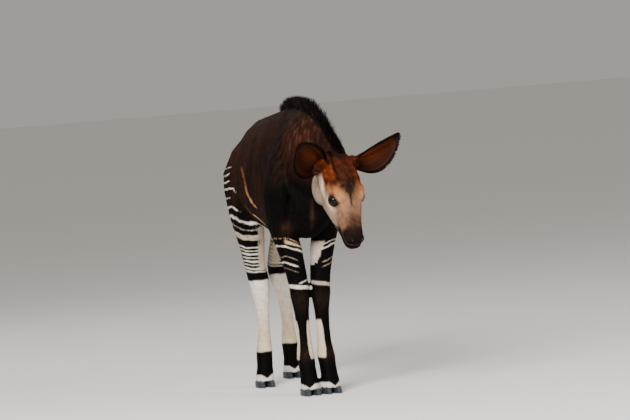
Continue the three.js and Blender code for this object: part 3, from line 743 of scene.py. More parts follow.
def fore_colour(colour, p, n):
    x, y, z = p.T
    zone = step(-y, -150, -120) * step(-z, -474, -460) * step(-np.abs(y - 40), -120, -100)
    left = x > 5
    wave = 1.2 * ripple(p, 40, 7) + 0.4 * ripple(p, 14, 8)
    colour = paint(colour, zone, BLACK)
    across = np.where(left, x - 48, -(x + 48))
    bend = np.where(left, 0.36, 0.42) * np.minimum(across, 24)
    bend = bend - np.where(z > 415, -0.05, 0.35) * np.maximum(across - 24, 0) - 0.1 * np.maximum(y - 40, 0)
    level = z - bend + wave
    for bands, own in ((RIGHT_BANDS, ~left), (LEFT_BANDS, left)):
        for middle, width, tint in bands:
            inner_end = step(across, -34, -26) if middle > 410 else step(across, -16, -6)
            outer_end = step(-across, -30, -14) if tint == CREAM and middle < 450 else 1
            shown = band(level, middle, width * (1 + 0.25 * ripple(p, 30, 19)), 1.1)
            colour = paint(colour, 0.95 * zone * own * inner_end * outer_end * shown, tint)
    ragged = z + 3 * ripple(p, 12, 20)
    reach = np.interp(ragged, [370, 378, 386, 400, 421, 440, 447], [4, 11, 22, 31, 36, 46, 50])
    patch = left * step(reach - x, -2, 3) * step(z, 372, 380) * step(-z, -450, -444)
    colour = paint(colour, 0.95 * zone * patch, "#c3b5a3")
    garter = z - np.where(left, -0.2, 0.15) * across + wave
    garter_hair = np.where(left[:, None], linear("#b5a491"), linear(WHITE))
    colour = paint(colour, zone * band(garter, 320, 11, 1.5), garter_hair)
    tie = band(z - 0.28 * x + wave, 340, 3.5) * step(across, -48, -44) * step(-across, 6, 14)
    colour = paint(colour, 0.9 * zone * ~left * tie, WHITE)
    flat = p * np.array([0, 1, 1.0])
    # painted brown sheen on the fronts of the black knees and fetlocks
    knee_and_fetlock_sheen = bump(flat, (0, 12, 272), (9, 22, 30)) + bump(flat, (0, 20, 120), (9, 18, 20))
    colour = paint(colour, 0.45 * zone * knee_and_fetlock_sheen * (1 + 0.4 * ripple(p, 18, 28)), "#33241b")
    black_faces = np.where(left, 0.40, -0.40) * n[:, 0] - 0.91 * n[:, 1]
    middle = np.abs(z - 160) / 60
    sides = step(0.86 - 0.3 * np.maximum(middle - 0.5, 0) - black_faces, 0.0, 0.1)
    cannon = step(z + wave, 103, 109) * step(-z - wave, -222, -214)
    colour = paint(colour, 0.97 * zone * sides * cannon, "#d9c9ae")
    lobe = np.abs(np.abs(x) - np.where(left, 35, 30) - 6)
    edge = 23 + 0.75 * np.minimum(lobe, 16)
    return paint(colour, zone * step(-z, -edge - 2, -edge + 2), WHITE)


# %% [markdown]
# The face is grey-buff with a rust forehead, a dark blaze, pale cheeks, a light crescent under each
# eye and a sooty muzzle. Places are folded onto one half where both sides match. Later lines cover
# earlier ones, so the order runs from broad fields to the rims of eye, mouth and nostril.

# %% The face
STRIP = [(58, 36, -54), (56, 52, -56), (54, 70, -58), (54, 88, -62), (53, 100, -66)]
CHEEK_LINE = [(53, 40, -76), (52, 58, -75), (53, 76, -70), (52, 96, -69), (45, 121, -84), (37, 134, -98)]
JAW_STREAK = [(44, 140, -84), (40, 158, -78), (37, 176, -70), (34, 194, -60)]
NOSTRIL_RIM = [(26, 212, -24), (24, 228, -25), (20, 242, -28), (11, 253, -34), (3, 257, -37)]


def face_stroke(folded, places, width, soft=2.5):
    share, _, far = near(curve(places, 50), folded)
    reach = width / 2 * np.sin(pi * np.clip(0.06 + share * 0.88, 0, 1)) ** 0.5
    return step(-far, -reach - soft, -reach + soft)


def face_colour(colour, p):
    x, f, up = head_half(p)
    side = on_head(p)[:, 0] + 9
    folded = np.stack([x, f, up], 1)
    zone = head_mask(p)
    wave = 5 * ripple(p, 40, 9) + 2 * ripple(p, 14, 10)
    fine = streaky(p, 9, 24, 0.5)
    face = paint(np.tile(linear("#936f56"), (len(p), 1)), 0.3 + 0.35 * ripple(p, 20, 11), "#785743")
    face = paint(face, 0.4 * step(fine, 0.1, 0.9), "#5d4434")
    cheek = step(-up - 0.2 * wave, 34, 62) * step(-f, -200, -130)
    face = paint(face, 0.85 * cheek, "#a38f80")
    face = paint(face, 0.6 * bump(folded, (50, 150, -70), (22, 40, 20)), "#b39a86")
    face = paint(face, 0.9 * face_stroke(folded, STRIP, 25, 5), "#d6c2a6")
    ear_root = step(-f, -44, -32) * step(up, -92, -76) * step(x, 30, 42)
    face = paint(face, 0.9 * ear_root, "#3a1c10")
    face = paint(face, 0.8 * face_stroke(folded, JAW_STREAK, 6, 4), "#d3bda6")
    face = paint(face, 0.95 * bump(folded, (36, 120, -1), (17, 22, 16)), "#c98f62")
    face = paint(face, 0.5 * bump(folded, (22, 146, -8), (14, 20, 12)), "#b48a6c")
    face = paint(face, 0.7 * step(-f - wave, -130, -92) * step(up + 0.6 * wave, -40, -20), "#a5683c")
    rusty = step(-f - wave - 0.12 * x, -110, -78) * step(up + 0.6 * wave, -44, -34)
    face = paint(face, rusty, "#602a11")
    face = paint(face, 0.5 * rusty * step(ripple(p, 15, 15), 0.0, 1.0) * step(x, 14, 34), "#8a4219")
    dark_middle = step(-f - wave, -124, -96) * step(-np.abs(side), -38, -18) * step(f, 16, 46)
    face = paint(face, 0.85 * dark_middle * (0.85 + 0.3 * ripple(p, 16, 25)), "#2e1d15")
    face = paint(face, 0.75 * rusty * step(streaky(p, 22, 12, 0.5), 0.0, 0.8), "#2c140b")
    face = paint(face, 0.85 * bump(folded, (26, 8, 0), (40, 26, 30)), "#331a11")
    face = paint(face, 0.9 * bump(folded, (36, 73, 3), (5, 6, 12)), "#140d0b")
    patch = np.stack([side, f, up], 1)
    blaze = 1.5 * bump(patch, (-1, 106, 9), (16, 18, 22))
    blaze = blaze + band(side, 0.05 * (f - 110), 5, 4) * band(f, 126, 52, 8)
    face = paint(face, 0.92 * np.clip(blaze, 0, 1), "#1f1b1a")
    face = paint(face, 0.6 * bump(patch, (2, 196, -14), (13, 30, 14)), "#6d4736")
    crescent = bump(folded, (53, 129, -50), (13, 18, 9)) + bump(folded, (47, 145, -37), (9, 9, 9))
    face = paint(face, 1.1 * crescent, "#e6d0b2")
    face = paint(face, 0.75 * face_stroke(folded, CHEEK_LINE, 4.5), "#3a2a24")
    rim = np.sqrt(((x - 46) / 21) ** 2 + ((f - 125) / 19) ** 2 + ((up + 32) / 16) ** 2)
    face = paint(face, 0.8 * step(-rim, -1.2, -0.95), "#241815")
    from_mouth = up - mouth_line(f)
    face = paint(face, 0.75 * step(f + 1.6 * wave - 0.3 * x, 160, 212), "#4f3526")
    nose = step(f + 1.2 * wave + 0.25 * up, 186, 212)
    chin = step(-from_mouth, -1, 3) * step(f, 184, 204)
    face = paint(face, np.maximum(nose, chin), MUZZLE)
    face = paint(face, 0.5 * bump(folded, (10, 222, -16), (14, 16, 12)), "#38221b")
    face = paint(face, 0.6 * face_stroke(folded, NOSTRIL_RIM, 2.0, 1.4), "#7b6a60")
    face = paint(face, 0.45 * band(from_mouth, 5.0, 2.4, 1.6) * step(f, 186, 200), "#80726a")
    face = paint(face, 0.9 * band(from_mouth, 0, 2.4, 1.4) * step(f, 174, 182), BLACK)
    face = paint(face, bump(folded, (21, 247, -38), (6, 9, 6)), BLACK)
    throat = step(-f - 0.7 * (-up - 60) - wave, -44, -26) * step(-up, 50, 70)
    face = paint(face, throat, CHOCOLATE)
    face = paint(face, step(-f - 0.6 * wave - 0.3 * x, -18, 6), "#20120d")
    return colour * (1 - zone[:, None]) + face * zone[:, None]


# %% [markdown]
# The regions are painted one over another, with three rusty streaks on the flank in between: painted
# highlights along its skin folds, paler lower down.

# %% All markings together
FLANK_FOLD_HIGHLIGHT = [(336, 670), (303, 650), (281, 628), (262, 601), (240, 578), (210, 561), (192, 553)]
STIFLE_FOLD_HIGHLIGHT = [(330, 556), (300, 543), (274, 533), (240, 526), (201, 511)]
LOW_FOLD_HIGHLIGHT = [(250, 530), (228, 522), (209, 512), (190, 500)]
CONTRAST = 1.08


def coat_colour(p, n):
    colour = body_colour(p)
    flank = step(np.abs(p[:, 0]), 50, 70)
    # painted highlights along the skin folds of both flanks, rusty, paler lower down
    paler = step(-p[:, 2], -640, -570)[:, None]
    rusty = linear("#78442a") * (1 - paler) + linear("#b07f57") * paler
    colour = paint(colour, 0.85 * flank * stroke(p, FLANK_FOLD_HIGHLIGHT, 16), rusty)
    colour = paint(colour, 0.8 * flank * stroke(p, STIFLE_FOLD_HIGHLIGHT, 6), "#8a5836")
    colour = hind_colour(colour, p, n)
    colour = paint(colour, 0.85 * flank * stroke(p, LOW_FOLD_HIGHLIGHT, 7), "#c7a883")
    colour = fore_colour(colour, p, n)
    colour = paint(colour, tail_mask(p), "#1d1310")
    far = near(CREST, p)[2]
    colour = paint(colour, step(-far, -20, -11) * step(-p[:, 1], -205, -185), BLACK)
    colour = face_colour(colour, p)
    return np.clip(colour * (1 + 0.08 * ripple(p, 16, 13))[:, None], 0, 1) ** CONTRAST


def colour_mesh(made, colours):
    layer = made.data.color_attributes.new("coat", "FLOAT_COLOR", "POINT")
    layer.data.foreach_set("color", np.hstack([colours, np.ones((len(colours), 1))]).ravel())


colour_mesh(skin, coat_colour(points, normals))
print("markings painted on", len(points), "points")

# %% [markdown]
# The hide's material shows short fur that lies flat: the painted colour, broken up by noise as fine
# as a few hairs, and a bump of the same size. It is rough, because hair scatters light, and has
# hardly any gloss of its own. The tufts share the colours but need no bump.


# %% Short fur
HAIR_CLUMP_MM = 1.8


def fur_material(name, bump_strength):
    made = material(name, roughness=0.62, specular=0.04)
    shader = made.node_tree.nodes["Principled BSDF"]
    paint_node = add_node(made, "ShaderNodeAttribute", attribute_name="coat")
    place = add_node(made, "ShaderNodeTexCoord")
    noise = add_node(made, "ShaderNodeTexNoise", [(place, "Object", "Vector")],
                     Scale=1000 / HAIR_CLUMP_MM, Detail=3.0)
    ramp = add_node(made, "ShaderNodeMapRange", To_Min=0.72, To_Max=1.28)
    made.node_tree.links.new(noise.outputs["Fac"], ramp.inputs["Value"])
    mix = add_node(made, "ShaderNodeVectorMath", operation="MULTIPLY")
    made.node_tree.links.new(paint_node.outputs["Color"], mix.inputs[0])
    made.node_tree.links.new(ramp.outputs["Result"], mix.inputs[1])
    wire(made, mix, "Vector", "Base Color")
    if bump_strength:
        lift = add_node(made, "ShaderNodeBump", Strength=bump_strength, Distance=0.0008)
        made.node_tree.links.new(noise.outputs["Fac"], lift.inputs["Height"])
        wire(made, lift, "Normal", "Normal")
    return made


hide = fur_material("calf_hide_short_fur", 0.5)
skin.data.materials.clear()
skin.data.materials.append(hide)
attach(skin, "root")
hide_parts(*[name for name in FLESH if not name.startswith("eye")])

# %% [markdown]
# ## Ears
#
# An okapi's ear is a large leaf of cartilage rolled into a cup. Each is rebuilt here finer than the
# solid, from the same table of widths and roll angles, with a soft rolled rim and ridges inside, and
# its root runs a little way into the head. Outside it is black, inside rust-red with dark streaks.


# %% Ears
EAR_LENGTH, EAR_HALF_WIDTH, EAR_SAG, EAR_ROOT_RADIUS, EAR_SKIN = 168.0, 36.0, 100.0, 18.0, 1.5
EAR_SHORTENING = 0.7
EAR_SHARES = [0, 0.14, 0.3, 0.46, 0.62, 0.78, 0.9, 1]
EAR_WIDTHS = [0.42, 0.58, 0.85, 1.0, 0.95, 0.72, 0.42, 0.05]
EAR_ROLLS = [128, 116, 92, 74, 64, 58, 54, 50]
EAR_ROOT = np.array([39.0, 20.0, -36.0])
EARS = {
    "left": (1, (0.87, -0.23, 0.4), (-0.2, -0.93, -0.3), 1.0, 1.0, 0.0),
    "right": (-1, (-0.73, -0.4, 0.56), (0.3, -0.83, -0.45), 1.36, 0.8, 45.0),
}
EAR_SHADE = {"left": 0.15, "right": 0.6}
EAR_ROWS, EAR_COLUMNS = 72, 56


def grid_faces(rows, columns):
    """Quads of a grid that closes on itself across its columns."""
    a = (np.arange(rows - 1)[:, None] * columns + np.arange(columns)[None]).ravel()
    b = (np.arange(rows - 1)[:, None] * columns + np.roll(np.arange(columns), -1)[None]).ravel()
    return np.stack([a, a + columns, b + columns, b], 1)


def smooth_table(shares, values, at):
    """A curve through the table, rounded as the solid's is."""
    shares, values = np.array(shares, float), np.array(values, float)
    slopes = np.gradient(values, shares)
    low = np.clip(np.searchsorted(shares, at, "right") - 1, 0, len(shares) - 2)
    span = shares[low + 1] - shares[low]
    t = (at - shares[low]) / span
    return ((2 * t**3 - 3 * t**2 + 1) * values[low] + (t**3 - 2 * t**2 + t) * span * slopes[low]
            + (3 * t**2 - 2 * t**3) * values[low + 1] + (t**3 - t**2) * span * slopes[low + 1])


def ear_axes(side):
    sign, direction, facing = EARS[side][:3]
    direction = unit(np.array(direction, float))
    facing = np.array(facing, float)
    facing = unit(facing - direction * (facing @ direction))
    return off_head(EAR_ROOT * np.array([sign, 1, 1])), direction, facing, np.cross(facing, direction)


def ear_points(side, share, turn, depth):
    """Places on an ear: share of its length, turn from -1 to 1 across the roll, depth in mm."""
    root, direction, facing, across = ear_axes(side)
    broader, flatter, curl = EARS[side][3:]
    changed = step(share, 0.05, 0.4)
    width = smooth_table(EAR_SHARES, EAR_WIDTHS, share) * (1 + (broader - 1) * changed)
    roll = np.radians(smooth_table(EAR_SHARES, EAR_ROLLS, share)) * (1 + (flatter - 1) * changed)
    radius = width * EAR_HALF_WIDTH / np.sin(np.minimum(roll, pi / 2))
    spine = (root + np.multiply.outer(share * EAR_LENGTH - EAR_SHORTENING * curl * share**3, direction)
             + np.multiply.outer(EAR_SAG * (share**2 - share), [0, 0, 1.0])
             + np.multiply.outer(radius - EAR_ROOT_RADIUS + curl * share**3, facing))
    angle = roll * turn
    reach = radius + depth
    return (spine + np.multiply.outer(1.0, across) * (reach * np.sin(angle))[..., None]
            - facing * (reach * np.cos(angle))[..., None])


def make_ear(side, fur):
    share = np.repeat(np.linspace(0.03, 1, EAR_ROWS), EAR_COLUMNS)
    around = np.tile(np.linspace(0, 2 * pi, EAR_COLUMNS, endpoint=False), EAR_ROWS)
    turn = np.sin(around)
    inside = np.cos(around) < 0
    ridge = 0.9 * np.cos(4 * pi * turn) * step(share, 0.15, 0.4) * step(-share, -0.95, -0.6)
    rim = EAR_SKIN * np.sign(np.cos(around)) * np.abs(np.cos(around)) ** 0.3
    places = ear_points(side, share, turn, rim + np.where(inside, ridge, 0))
    made = mesh_object(f"ear_{side}_leaf", places, grid_faces(EAR_ROWS, EAR_COLUMNS), [fur])
    colour_mesh(made, ear_colour(side, inside, turn, share))
    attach(made, "root")
    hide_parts(f"ear_{side}")
    return made


def ear_colour(side, inside, turn, share):
    """Black outside, rust in the cup, darker above and towards the tip. Painted shade darkens
    the cup's deep hollow, and the cups of both ears, most that of the right ear, which lies in shadow.
    """
    colour = np.tile(linear("#17110f"), (len(share), 1))
    upper = -turn * EARS[side][0]
    red = inside * step(-np.abs(turn), -0.9, -0.7) * step(-share, -0.92, -0.76)
    colour = paint(colour, red, "#6f3215")
    colour = paint(colour, 0.85 * red * step(upper, -0.3, 0.4), "#26100a")
    colour = paint(colour, 0.65 * red * step(share, 0.4, 0.8), "#34160d")
    streaks = step(ripple(np.stack([turn * 60, share * 14, 0 * share], 1), 16, 21), -0.1, 0.7)
    colour = paint(colour, 0.7 * red * streaks, "#24100a")
    colour = paint(colour, EAR_SHADE[side] * inside, "#1c0a06")
    # painted shade deep in the cup, near its root
    hollow = inside * step(-share, -0.32, -0.12) * step(-np.abs(turn), -0.8, -0.4)
    colour = paint(colour, 0.85 * hollow, "#160d0b")
    return paint(colour, 0.8 * ~inside * step(-share, -0.28, -0.14), "#6a3319")


ear_fur = fur_material("ear_velvet", 0.35)
ears = {side: make_ear(side, ear_fur) for side in EARS}
print("ears:", [len(ear.data.vertices) for ear in ears.values()])

# %% [markdown]
# ## Eyes
#
# The eyeballs are as large as the solids' and sit as deep. Each is one ball with the iris and the
# long level pupil painted on it, under a clear wet coat. The lids are a raised fold round the almond
# opening, dark and moist at the edge, and lashes stand along the upper one.


# %% Eyeballs and lids
BALL_ROWS, BALL_COLUMNS = 60, 64


def on_ball(sign, angle, around, radius):
    """A place at an angle from the look and round it, at a distance from the ball's middle."""
    middle, look, side, up = eye_axes(sign)
    ring = np.multiply.outer(np.cos(around), side) + np.multiply.outer(np.sin(around), up)
    return middle + (look * np.cos(angle)[..., None] + ring * np.sin(angle)[..., None]) * radius[..., None]


def make_eye(side, sign, wet):
    angle = np.repeat(np.linspace(0.01, pi - 0.01, BALL_ROWS), BALL_COLUMNS)
    around = np.tile(np.linspace(0, 2 * pi, BALL_COLUMNS, endpoint=False), BALL_ROWS)
    bulge = EYE_RADIUS * (1 - 0.012 + 0.035 * np.exp(-(angle / 0.5) ** 2))
    places = on_ball(sign, angle, around, bulge)
    made = mesh_object(f"eyeball_{side}", places, grid_faces(BALL_ROWS, BALL_COLUMNS), [wet])
    across, upward = np.sin(angle) * np.cos(around), np.sin(angle) * np.sin(around)
    away = np.hypot(across, upward)
    fibres = 0.5 + 0.5 * np.sin(34 * np.arctan2(upward, across) + 3 * np.sin(9 * away))
    colour = np.tile(linear("#2c1e1a"), (len(places), 1))
    colour = paint(colour, step(-away, -0.84, -0.78), "#0e0806")
    colour = paint(colour, 0.6 * fibres * step(-away, -0.72, -0.6), "#22130c")
    pupil = np.hypot(across / 0.5, upward / 0.28)
    colour = paint(colour, step(-pupil, -1.08, -0.92), "#020203")
    colour_mesh(made, colour)
    first = made.data.polygons[0]
    if first.normal.dot(first.center - Vector(to_model(eye_axes(sign)[0]))) < 0:
        made.data.flip_normals()
    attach(made, "root")
    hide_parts(f"eye_{side}")


LID_SPREAD = np.array([0, 0.03, 0.07, 0.12, 0.18, 0.25, 0.33, 0.42, 0.5])
LID_HEIGHT = np.array([0.1, 1.0, 1.7, 2.0, 1.9, 1.5, 0.9, 0.0, -1.4])
LID_COLUMNS = 72
UPPER_FOLD = 0.5
LASHES, LASH_LENGTH = 46, 7.5


def lid_ring(sign, around, spread, height):
    """Round the almond: spread is the angle outwards from its edge, height the rise off the ball."""
    reach_x, reach_y = OPENING_HALF_LENGTH * np.cos(around), OPENING_HALF_HEIGHT * np.sin(around)
    reach_y = np.where(reach_y > 0, reach_y * 1.06, reach_y * 0.94)
    edge = np.arcsin(np.clip(np.hypot(reach_x, reach_y), 0, 0.999))
    turn = np.arctan2(reach_y, reach_x)
    return on_ball(sign, edge + spread, turn, EYE_RADIUS + height)


def make_lids(side, sign, fur):
    around = np.linspace(0, 2 * pi, LID_COLUMNS, endpoint=False)
    upper = UPPER_FOLD * np.maximum(np.sin(around), 0)
    rows = [lid_ring(sign, around, np.full(LID_COLUMNS, spread), height + upper * (0.04 < spread < 0.3))
            for spread, height in zip(LID_SPREAD, LID_HEIGHT)]
    places = np.vstack(rows)
    made = mesh_object(f"eyelids_{side}", places, grid_faces(len(rows), LID_COLUMNS), [fur])
    middle, look, _, _ = eye_axes(sign)
    if np.array(made.data.polygons[LID_COLUMNS * 4].normal) @ look < 0:
        made.data.flip_normals()
    spread = np.repeat(LID_SPREAD, LID_COLUMNS)
    colour = coat_colour(places, unit(places - middle))
    colour = paint(colour, step(-spread, -0.2, -0.08), "#120b0a")
    colour = paint(colour, 0.5 * band(spread, 0.3, 0.1, 0.04), "#8f7d72")
    colour_mesh(made, colour)
    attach(made, "root")


def make_lashes(side, sign, horn):
    """Short curved blades along the upper lid, longest over its middle."""
    around = np.linspace(0.12 * pi, 0.88 * pi, LASHES) + random.normal(0, 0.01, LASHES)
    length = LASH_LENGTH * np.sin(around) ** 0.6 * random.uniform(0.8, 1.1, LASHES)
    roots = lid_ring(sign, around, np.full(LASHES, 0.02), np.full(LASHES, 0.6))
    middle, look, line, up = eye_axes(sign)
    fanned = np.multiply.outer(np.cos(around), line) * 0.5
    outward = unit(unit(roots - middle) * 0.9 + up * 0.35 + look * 0.5 + fanned)
    tips = roots + outward * length[:, None] + up * (0.2 * length)[:, None]
    bend = roots + outward * (0.55 * length)[:, None]
    wide = line * 0.35
    places = np.stack([roots - wide, roots + wide, bend - 0.6 * wide, bend + 0.6 * wide, tips], 1)
    first = (np.arange(LASHES) * 5)[:, None]
    tris = np.vstack([first + [0, 1, 3], first + [0, 3, 2], first + [2, 3, 4]])
    made = mesh_object(f"lashes_{side}", places.reshape(-1, 3), tris, [horn])
    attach(made, "root")


def eye_material():
    made = material("wet_eye", roughness=0.12, specular=0.05)
    shader = made.node_tree.nodes["Principled BSDF"]
    shader.inputs["Coat Weight"].default_value = 0.22
    shader.inputs["Coat Roughness"].default_value = 0.02
    wire(made, add_node(made, "ShaderNodeAttribute", attribute_name="coat"), "Color", "Base Color")
    return made


wet_eye = eye_material()
lash = material("eyelash_hair", "#0c0908", 0.5, 0.3)
for eye_side, eye_sign in (("right", -1), ("left", 1)):
    make_eye(eye_side, eye_sign, wet_eye)
    make_lids(eye_side, eye_sign, hide)
    make_lashes(eye_side, eye_sign, lash)
print("eyes, lids and lashes made")

# %% [markdown]
# ## Hooves
#
# Each foot has two claws of horn, which grows down from the coronet in fine rings. The solid of
# each is wrapped and smoothed, the rings are raised on it, and its sole stays flat on the floor.
# Horn is a dull, slightly glossy slate, paler between the rings.

# %% Hooves
HOOF_NET, HOOF_ROUNDS = 1.2, 14
RING_HEIGHT, RING_SPACING, RING_TONE_SPACING = 0.22, 3.4, 3.2
SOLE_FLAT = 1.2


def hoof_material():
    made = material("hoof_horn", "#1e2226", 0.45, 0.4)
    place = add_node(made, "ShaderNodeTexCoord")
    rings = add_node(made, "ShaderNodeTexWave", [(place, "Object", "Vector")], bands_direction="Z",
                     Scale=1000 / RING_TONE_SPACING / 6.28, Distortion=1.5, Detail=2.0)
    ramp = add_node(made, "ShaderNodeValToRGB", [(rings, "Fac", "Fac")])
    ramp.color_ramp.elements[0].color = (*linear("#16191c"), 1)
    ramp.color_ramp.elements[1].color = (*linear("#363c42"), 1)
    wire(made, ramp, "Color", "Base Color")
    lift = add_node(made, "ShaderNodeBump", [(rings, "Fac", "Height")], Strength=0.4, Distance=0.0005)
    wire(made, lift, "Normal", "Normal")
    return made


def make_claw(name, horn):
    own, tris = node_solid(name)
    made = mesh_object(name + "_horn", own, tris, [horn])
    wrap(made, HOOF_NET)
    made.data.materials.clear()
    made.data.materials.append(horn)
    place = mesh_points(made)
    place = relax(place, neighbours(made), np.full(len(place), HOOF_ROUNDS))
    rings = RING_HEIGHT * np.sin(2 * pi * place[:, 2] / RING_SPACING)
    set_points(made, place)
    place = place + mesh_normals(made) * (rings * step(place[:, 2], 2, 4))[:, None]
    place[:, 2] = np.where(place[:, 2] < SOLE_FLAT, 0, place[:, 2])
    set_points(made, place)
    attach(made, "root")
    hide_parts(name)


horn = hoof_material()
for node in [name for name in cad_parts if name.startswith("hoof")]:
    make_claw(node, horn)
print("claws made")

# %% [markdown]
# ## The coat
#
# Over the skin lie some hundred thousands of thin tufts, each a narrow blade of three triangles with
# a lifted middle and a fine tip, as a lock of a few dozen hairs is. They follow the lie of the coat:
# back along the body, down the legs, and on the face from the nose up to the poll. They are longest
# on the trunk and shortest on muzzle and feet, and take their colour from the same markings.


# %% How the coat lies
def blend(first, second, amount):
    return first * (1 - amount[:, None]) + second * amount[:, None]


def lie_of_coat(p, n):
    _, y, z = p.T
    trunk = np.tile([0.0, 0.9, -0.42], (len(p), 1))
    way = blend(trunk, np.array([0.0, 0.45, -0.9]), step(y, 380, 600))
    way = blend(way, np.array([0.0, 0.55, -0.84]), step(-y, -90, 10) * step(z, 560, 640))
    way = blend(way, np.array([0.0, 0.2, -0.98]), step(-y, -90, 0) * step(-z, -620, -540))
    way = blend(way, np.array([0.0, 0.12, -1.0]), np.maximum(fore_mask(p), hind_mask(p)))
    local = on_head(p)
    to_poll = np.stack([0.25 * np.sign(local[:, 0]) * step(np.abs(local[:, 0]), 6, 30),
                        -np.ones(len(p)), -0.25 * step(-local[:, 2], 20, 60)], 1) @ HEAD_AXES
    way = blend(way, to_poll, head_mask(p))
    drift = np.stack([ripple(p, 46, 31 + k) for k in range(3)], 1)
    way = unit(way) + 0.22 * drift + 0.12 * random.normal(size=p.shape)
    return unit(way - n * np.sum(way * n, 1)[:, None])


# %% [markdown]
# Many tufts are joined in one mesh. Each keeps one small patch of the map OFBake, at its root's place
# on an unwrap of the skin, so that colours baked on that map come out with the markings.


# %% Tufts
PATCH = 0.003
TUFT_CORNERS = [[-1, -1], [1, -1], [-1, 0.3], [1, 0.3], [0, 1]]
# each tuft is painted darker at its root, as shade among the hairs, and lighter at its tip
TUFT_ROOT_SHADE = np.array([0.8, 0.8, 1.0, 1.0, 1.12])[None, :, None]


def hair_piece(name, places, tris, colours, corners, spots, fur):
    """One mesh of tufts, with as many colours and patch corners a tuft as it has points."""
    made = mesh_object(name, places.reshape(-1, 3), tris, [fur])
    colour_mesh(made, np.clip(colours, 0, 1).reshape(-1, 3))
    patches = np.clip(spots, PATCH, 1 - PATCH)[:, None] + (np.array(corners) * PATCH / 2)[None]
    flat = patches.reshape(-1, 2)[tris.ravel()]
    made.data.uv_layers.new(name="OFBake").uv.foreach_set("vector", flat.ravel())
    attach(made, "root")
    print(name, len(tris), "triangles")


def blades(name, roots, normals, ways, lengths, widths, colours, spots, fur, lift=0.16, droop=0.02):
    """Tufts of three triangles: a narrow foot, a lifted middle and a fine tip."""
    aside = unit(np.cross(normals, ways)) * (widths / 2)[:, None]
    up = normals * (lengths * lift)[:, None]
    middle = roots + ways * (0.55 * lengths)[:, None] + up
    tip = roots + ways * lengths[:, None] + up * (1 - droop / lift)
    low = roots - normals * 0.4
    places = np.stack([low - aside, low + aside, middle - 0.8 * aside, middle + 0.8 * aside, tip], 1)
    first = (np.arange(len(roots)) * 5)[:, None]
    tris = np.stack([first + [0, 1, 3], first + [0, 3, 2], first + [2, 3, 4]], 1).reshape(-1, 3)
    hair_piece(name, places, tris, TUFT_ROOT_SHADE * colours[:, None], TUFT_CORNERS, spots, fur)


# %% [markdown]
# Tufts are scattered over the skin's small quads by area and by region, none in the eyes' openings.


# %% Places on the skin
def skin_quads():
    corners = np.empty(len(skin.data.loops), int)
    skin.data.loops.foreach_get("vertex_index", corners)
    starts = np.empty(len(skin.data.polygons), int)
    skin.data.polygons.foreach_get("loop_start", starts)
    return corners[starts[:, None] + np.arange(4)]


quads = skin_quads()
corner_a, corner_b, corner_c, corner_d = (points[quads[:, k]] for k in range(4))
quad_area = 0.5 * np.linalg.norm(np.cross(corner_c - corner_a, corner_d - corner_b), axis=1)
quad_middle = (corner_a + corner_b + corner_c + corner_d) / 4


def near_eyes(p):
    """1 within the lids' opening of either eye."""
    return np.maximum(in_opening(p, -1)[0] < TUFT_FREE, in_opening(p, 1)[0] < TUFT_FREE).astype(float)


def scatter(weight, count):
    chance = quad_area * weight
    pick = random.choice(len(chance), count, p=chance / chance.sum())
    u, v = random.random((2, count, 1))
    q = quads[pick]
    mix = [(1 - u) * (1 - v), u * (1 - v), u * v, (1 - u) * v]
    place = sum(m * points[q[:, k]] for k, m in enumerate(mix))
    normal = unit(sum(m * normals[q[:, k]] for k, m in enumerate(mix)))
    return place, normal


# %% [markdown]
# The unwraps follow the skin's own shape: trunk, neck and head as tubes cut along the belly or the
# throat, and each leg as a tube of its own.


# %% The unwraps that the bake reads
def turn_round(across, up):
    return (np.arctan2(across, up) / (2 * pi)) % 1.0


def unwrap_trunk(p, low, high):
    return np.stack([turn_round(p[:, 0], p[:, 2] - 640), (p[:, 1] - low) / (high - low)], 1)


def unwrap_neck(p):
    share = (120 - p[:, 1]) / 340
    return np.stack([turn_round(p[:, 0] - 30 * share, p[:, 2] - 700 + 60 * share), share], 1)


def unwrap_head(p):
    local = on_head(p)
    return np.stack([turn_round(local[:, 0], local[:, 2] + 60), (local[:, 1] + 30) / 305], 1)


def unwrap_legs(p, z_high, middle_y):
    left = p[:, 0] > 5
    middle_x = np.where(left, 55, -55)
    around = turn_round(p[:, 0] - middle_x, p[:, 1] - middle_y(p))
    return np.stack([0.5 * around + 0.5 * left, p[:, 2] / z_high], 1)


# %% [markdown]
# The coat is laid region by region, so that each piece stays small. Its length runs from about 11 mm
# on the trunk to 2 or 3 on muzzle and feet.

# %% Coat by regions
fore_zone, hind_zone, head_zone = fore_mask(quad_middle), hind_mask(quad_middle), head_mask(quad_middle)
hind_low = hind_zone * step(-quad_middle[:, 2], -560, -540)
neck_zone = (1 - head_zone) * step(-quad_middle[:, 1], -40, -20) * (1 - fore_zone)
trunk_zone = (1 - head_zone) * (1 - neck_zone) * (1 - fore_zone) * (1 - hind_low)
clear = 1 - near_eyes(quad_middle)


def coat_length(p):
    """Tuft length in mm at each place."""
    _, f, _ = head_half(p)
    face = 6.0 - 2.6 * step(f, 90, 200) - 1.2 * step(f, 205, 225) + 2.0 * step(-f, -50, 0)
    legs = 4.6 + 4.5 * step(p[:, 2], 440, 560)
    limb = np.maximum(fore_mask(p), hind_mask(p) * step(-p[:, 2], -560, -540))
    body = 11.5 * (1 - limb) + legs * limb
    on = head_mask(p)
    return body * (1 - on) + face * on


def lay_coat(name, weight, count, unwrap):
    p, n = scatter(weight * clear + 1e-9, count)
    length = coat_length(p) * random.uniform(0.75, 1.2, count)
    width = (0.6 + 0.135 * length) * random.uniform(0.8, 1.15, count)
    shade = 1 + 0.13 * random.normal(size=(count, 1))
    way = lie_of_coat(p, n)
    colour = np.clip(coat_colour(p + way * (0.5 * length)[:, None], n) * shade, 0, 1)
    blades(name, p, n, way, length, width, colour, unwrap(p), hide_tufts)


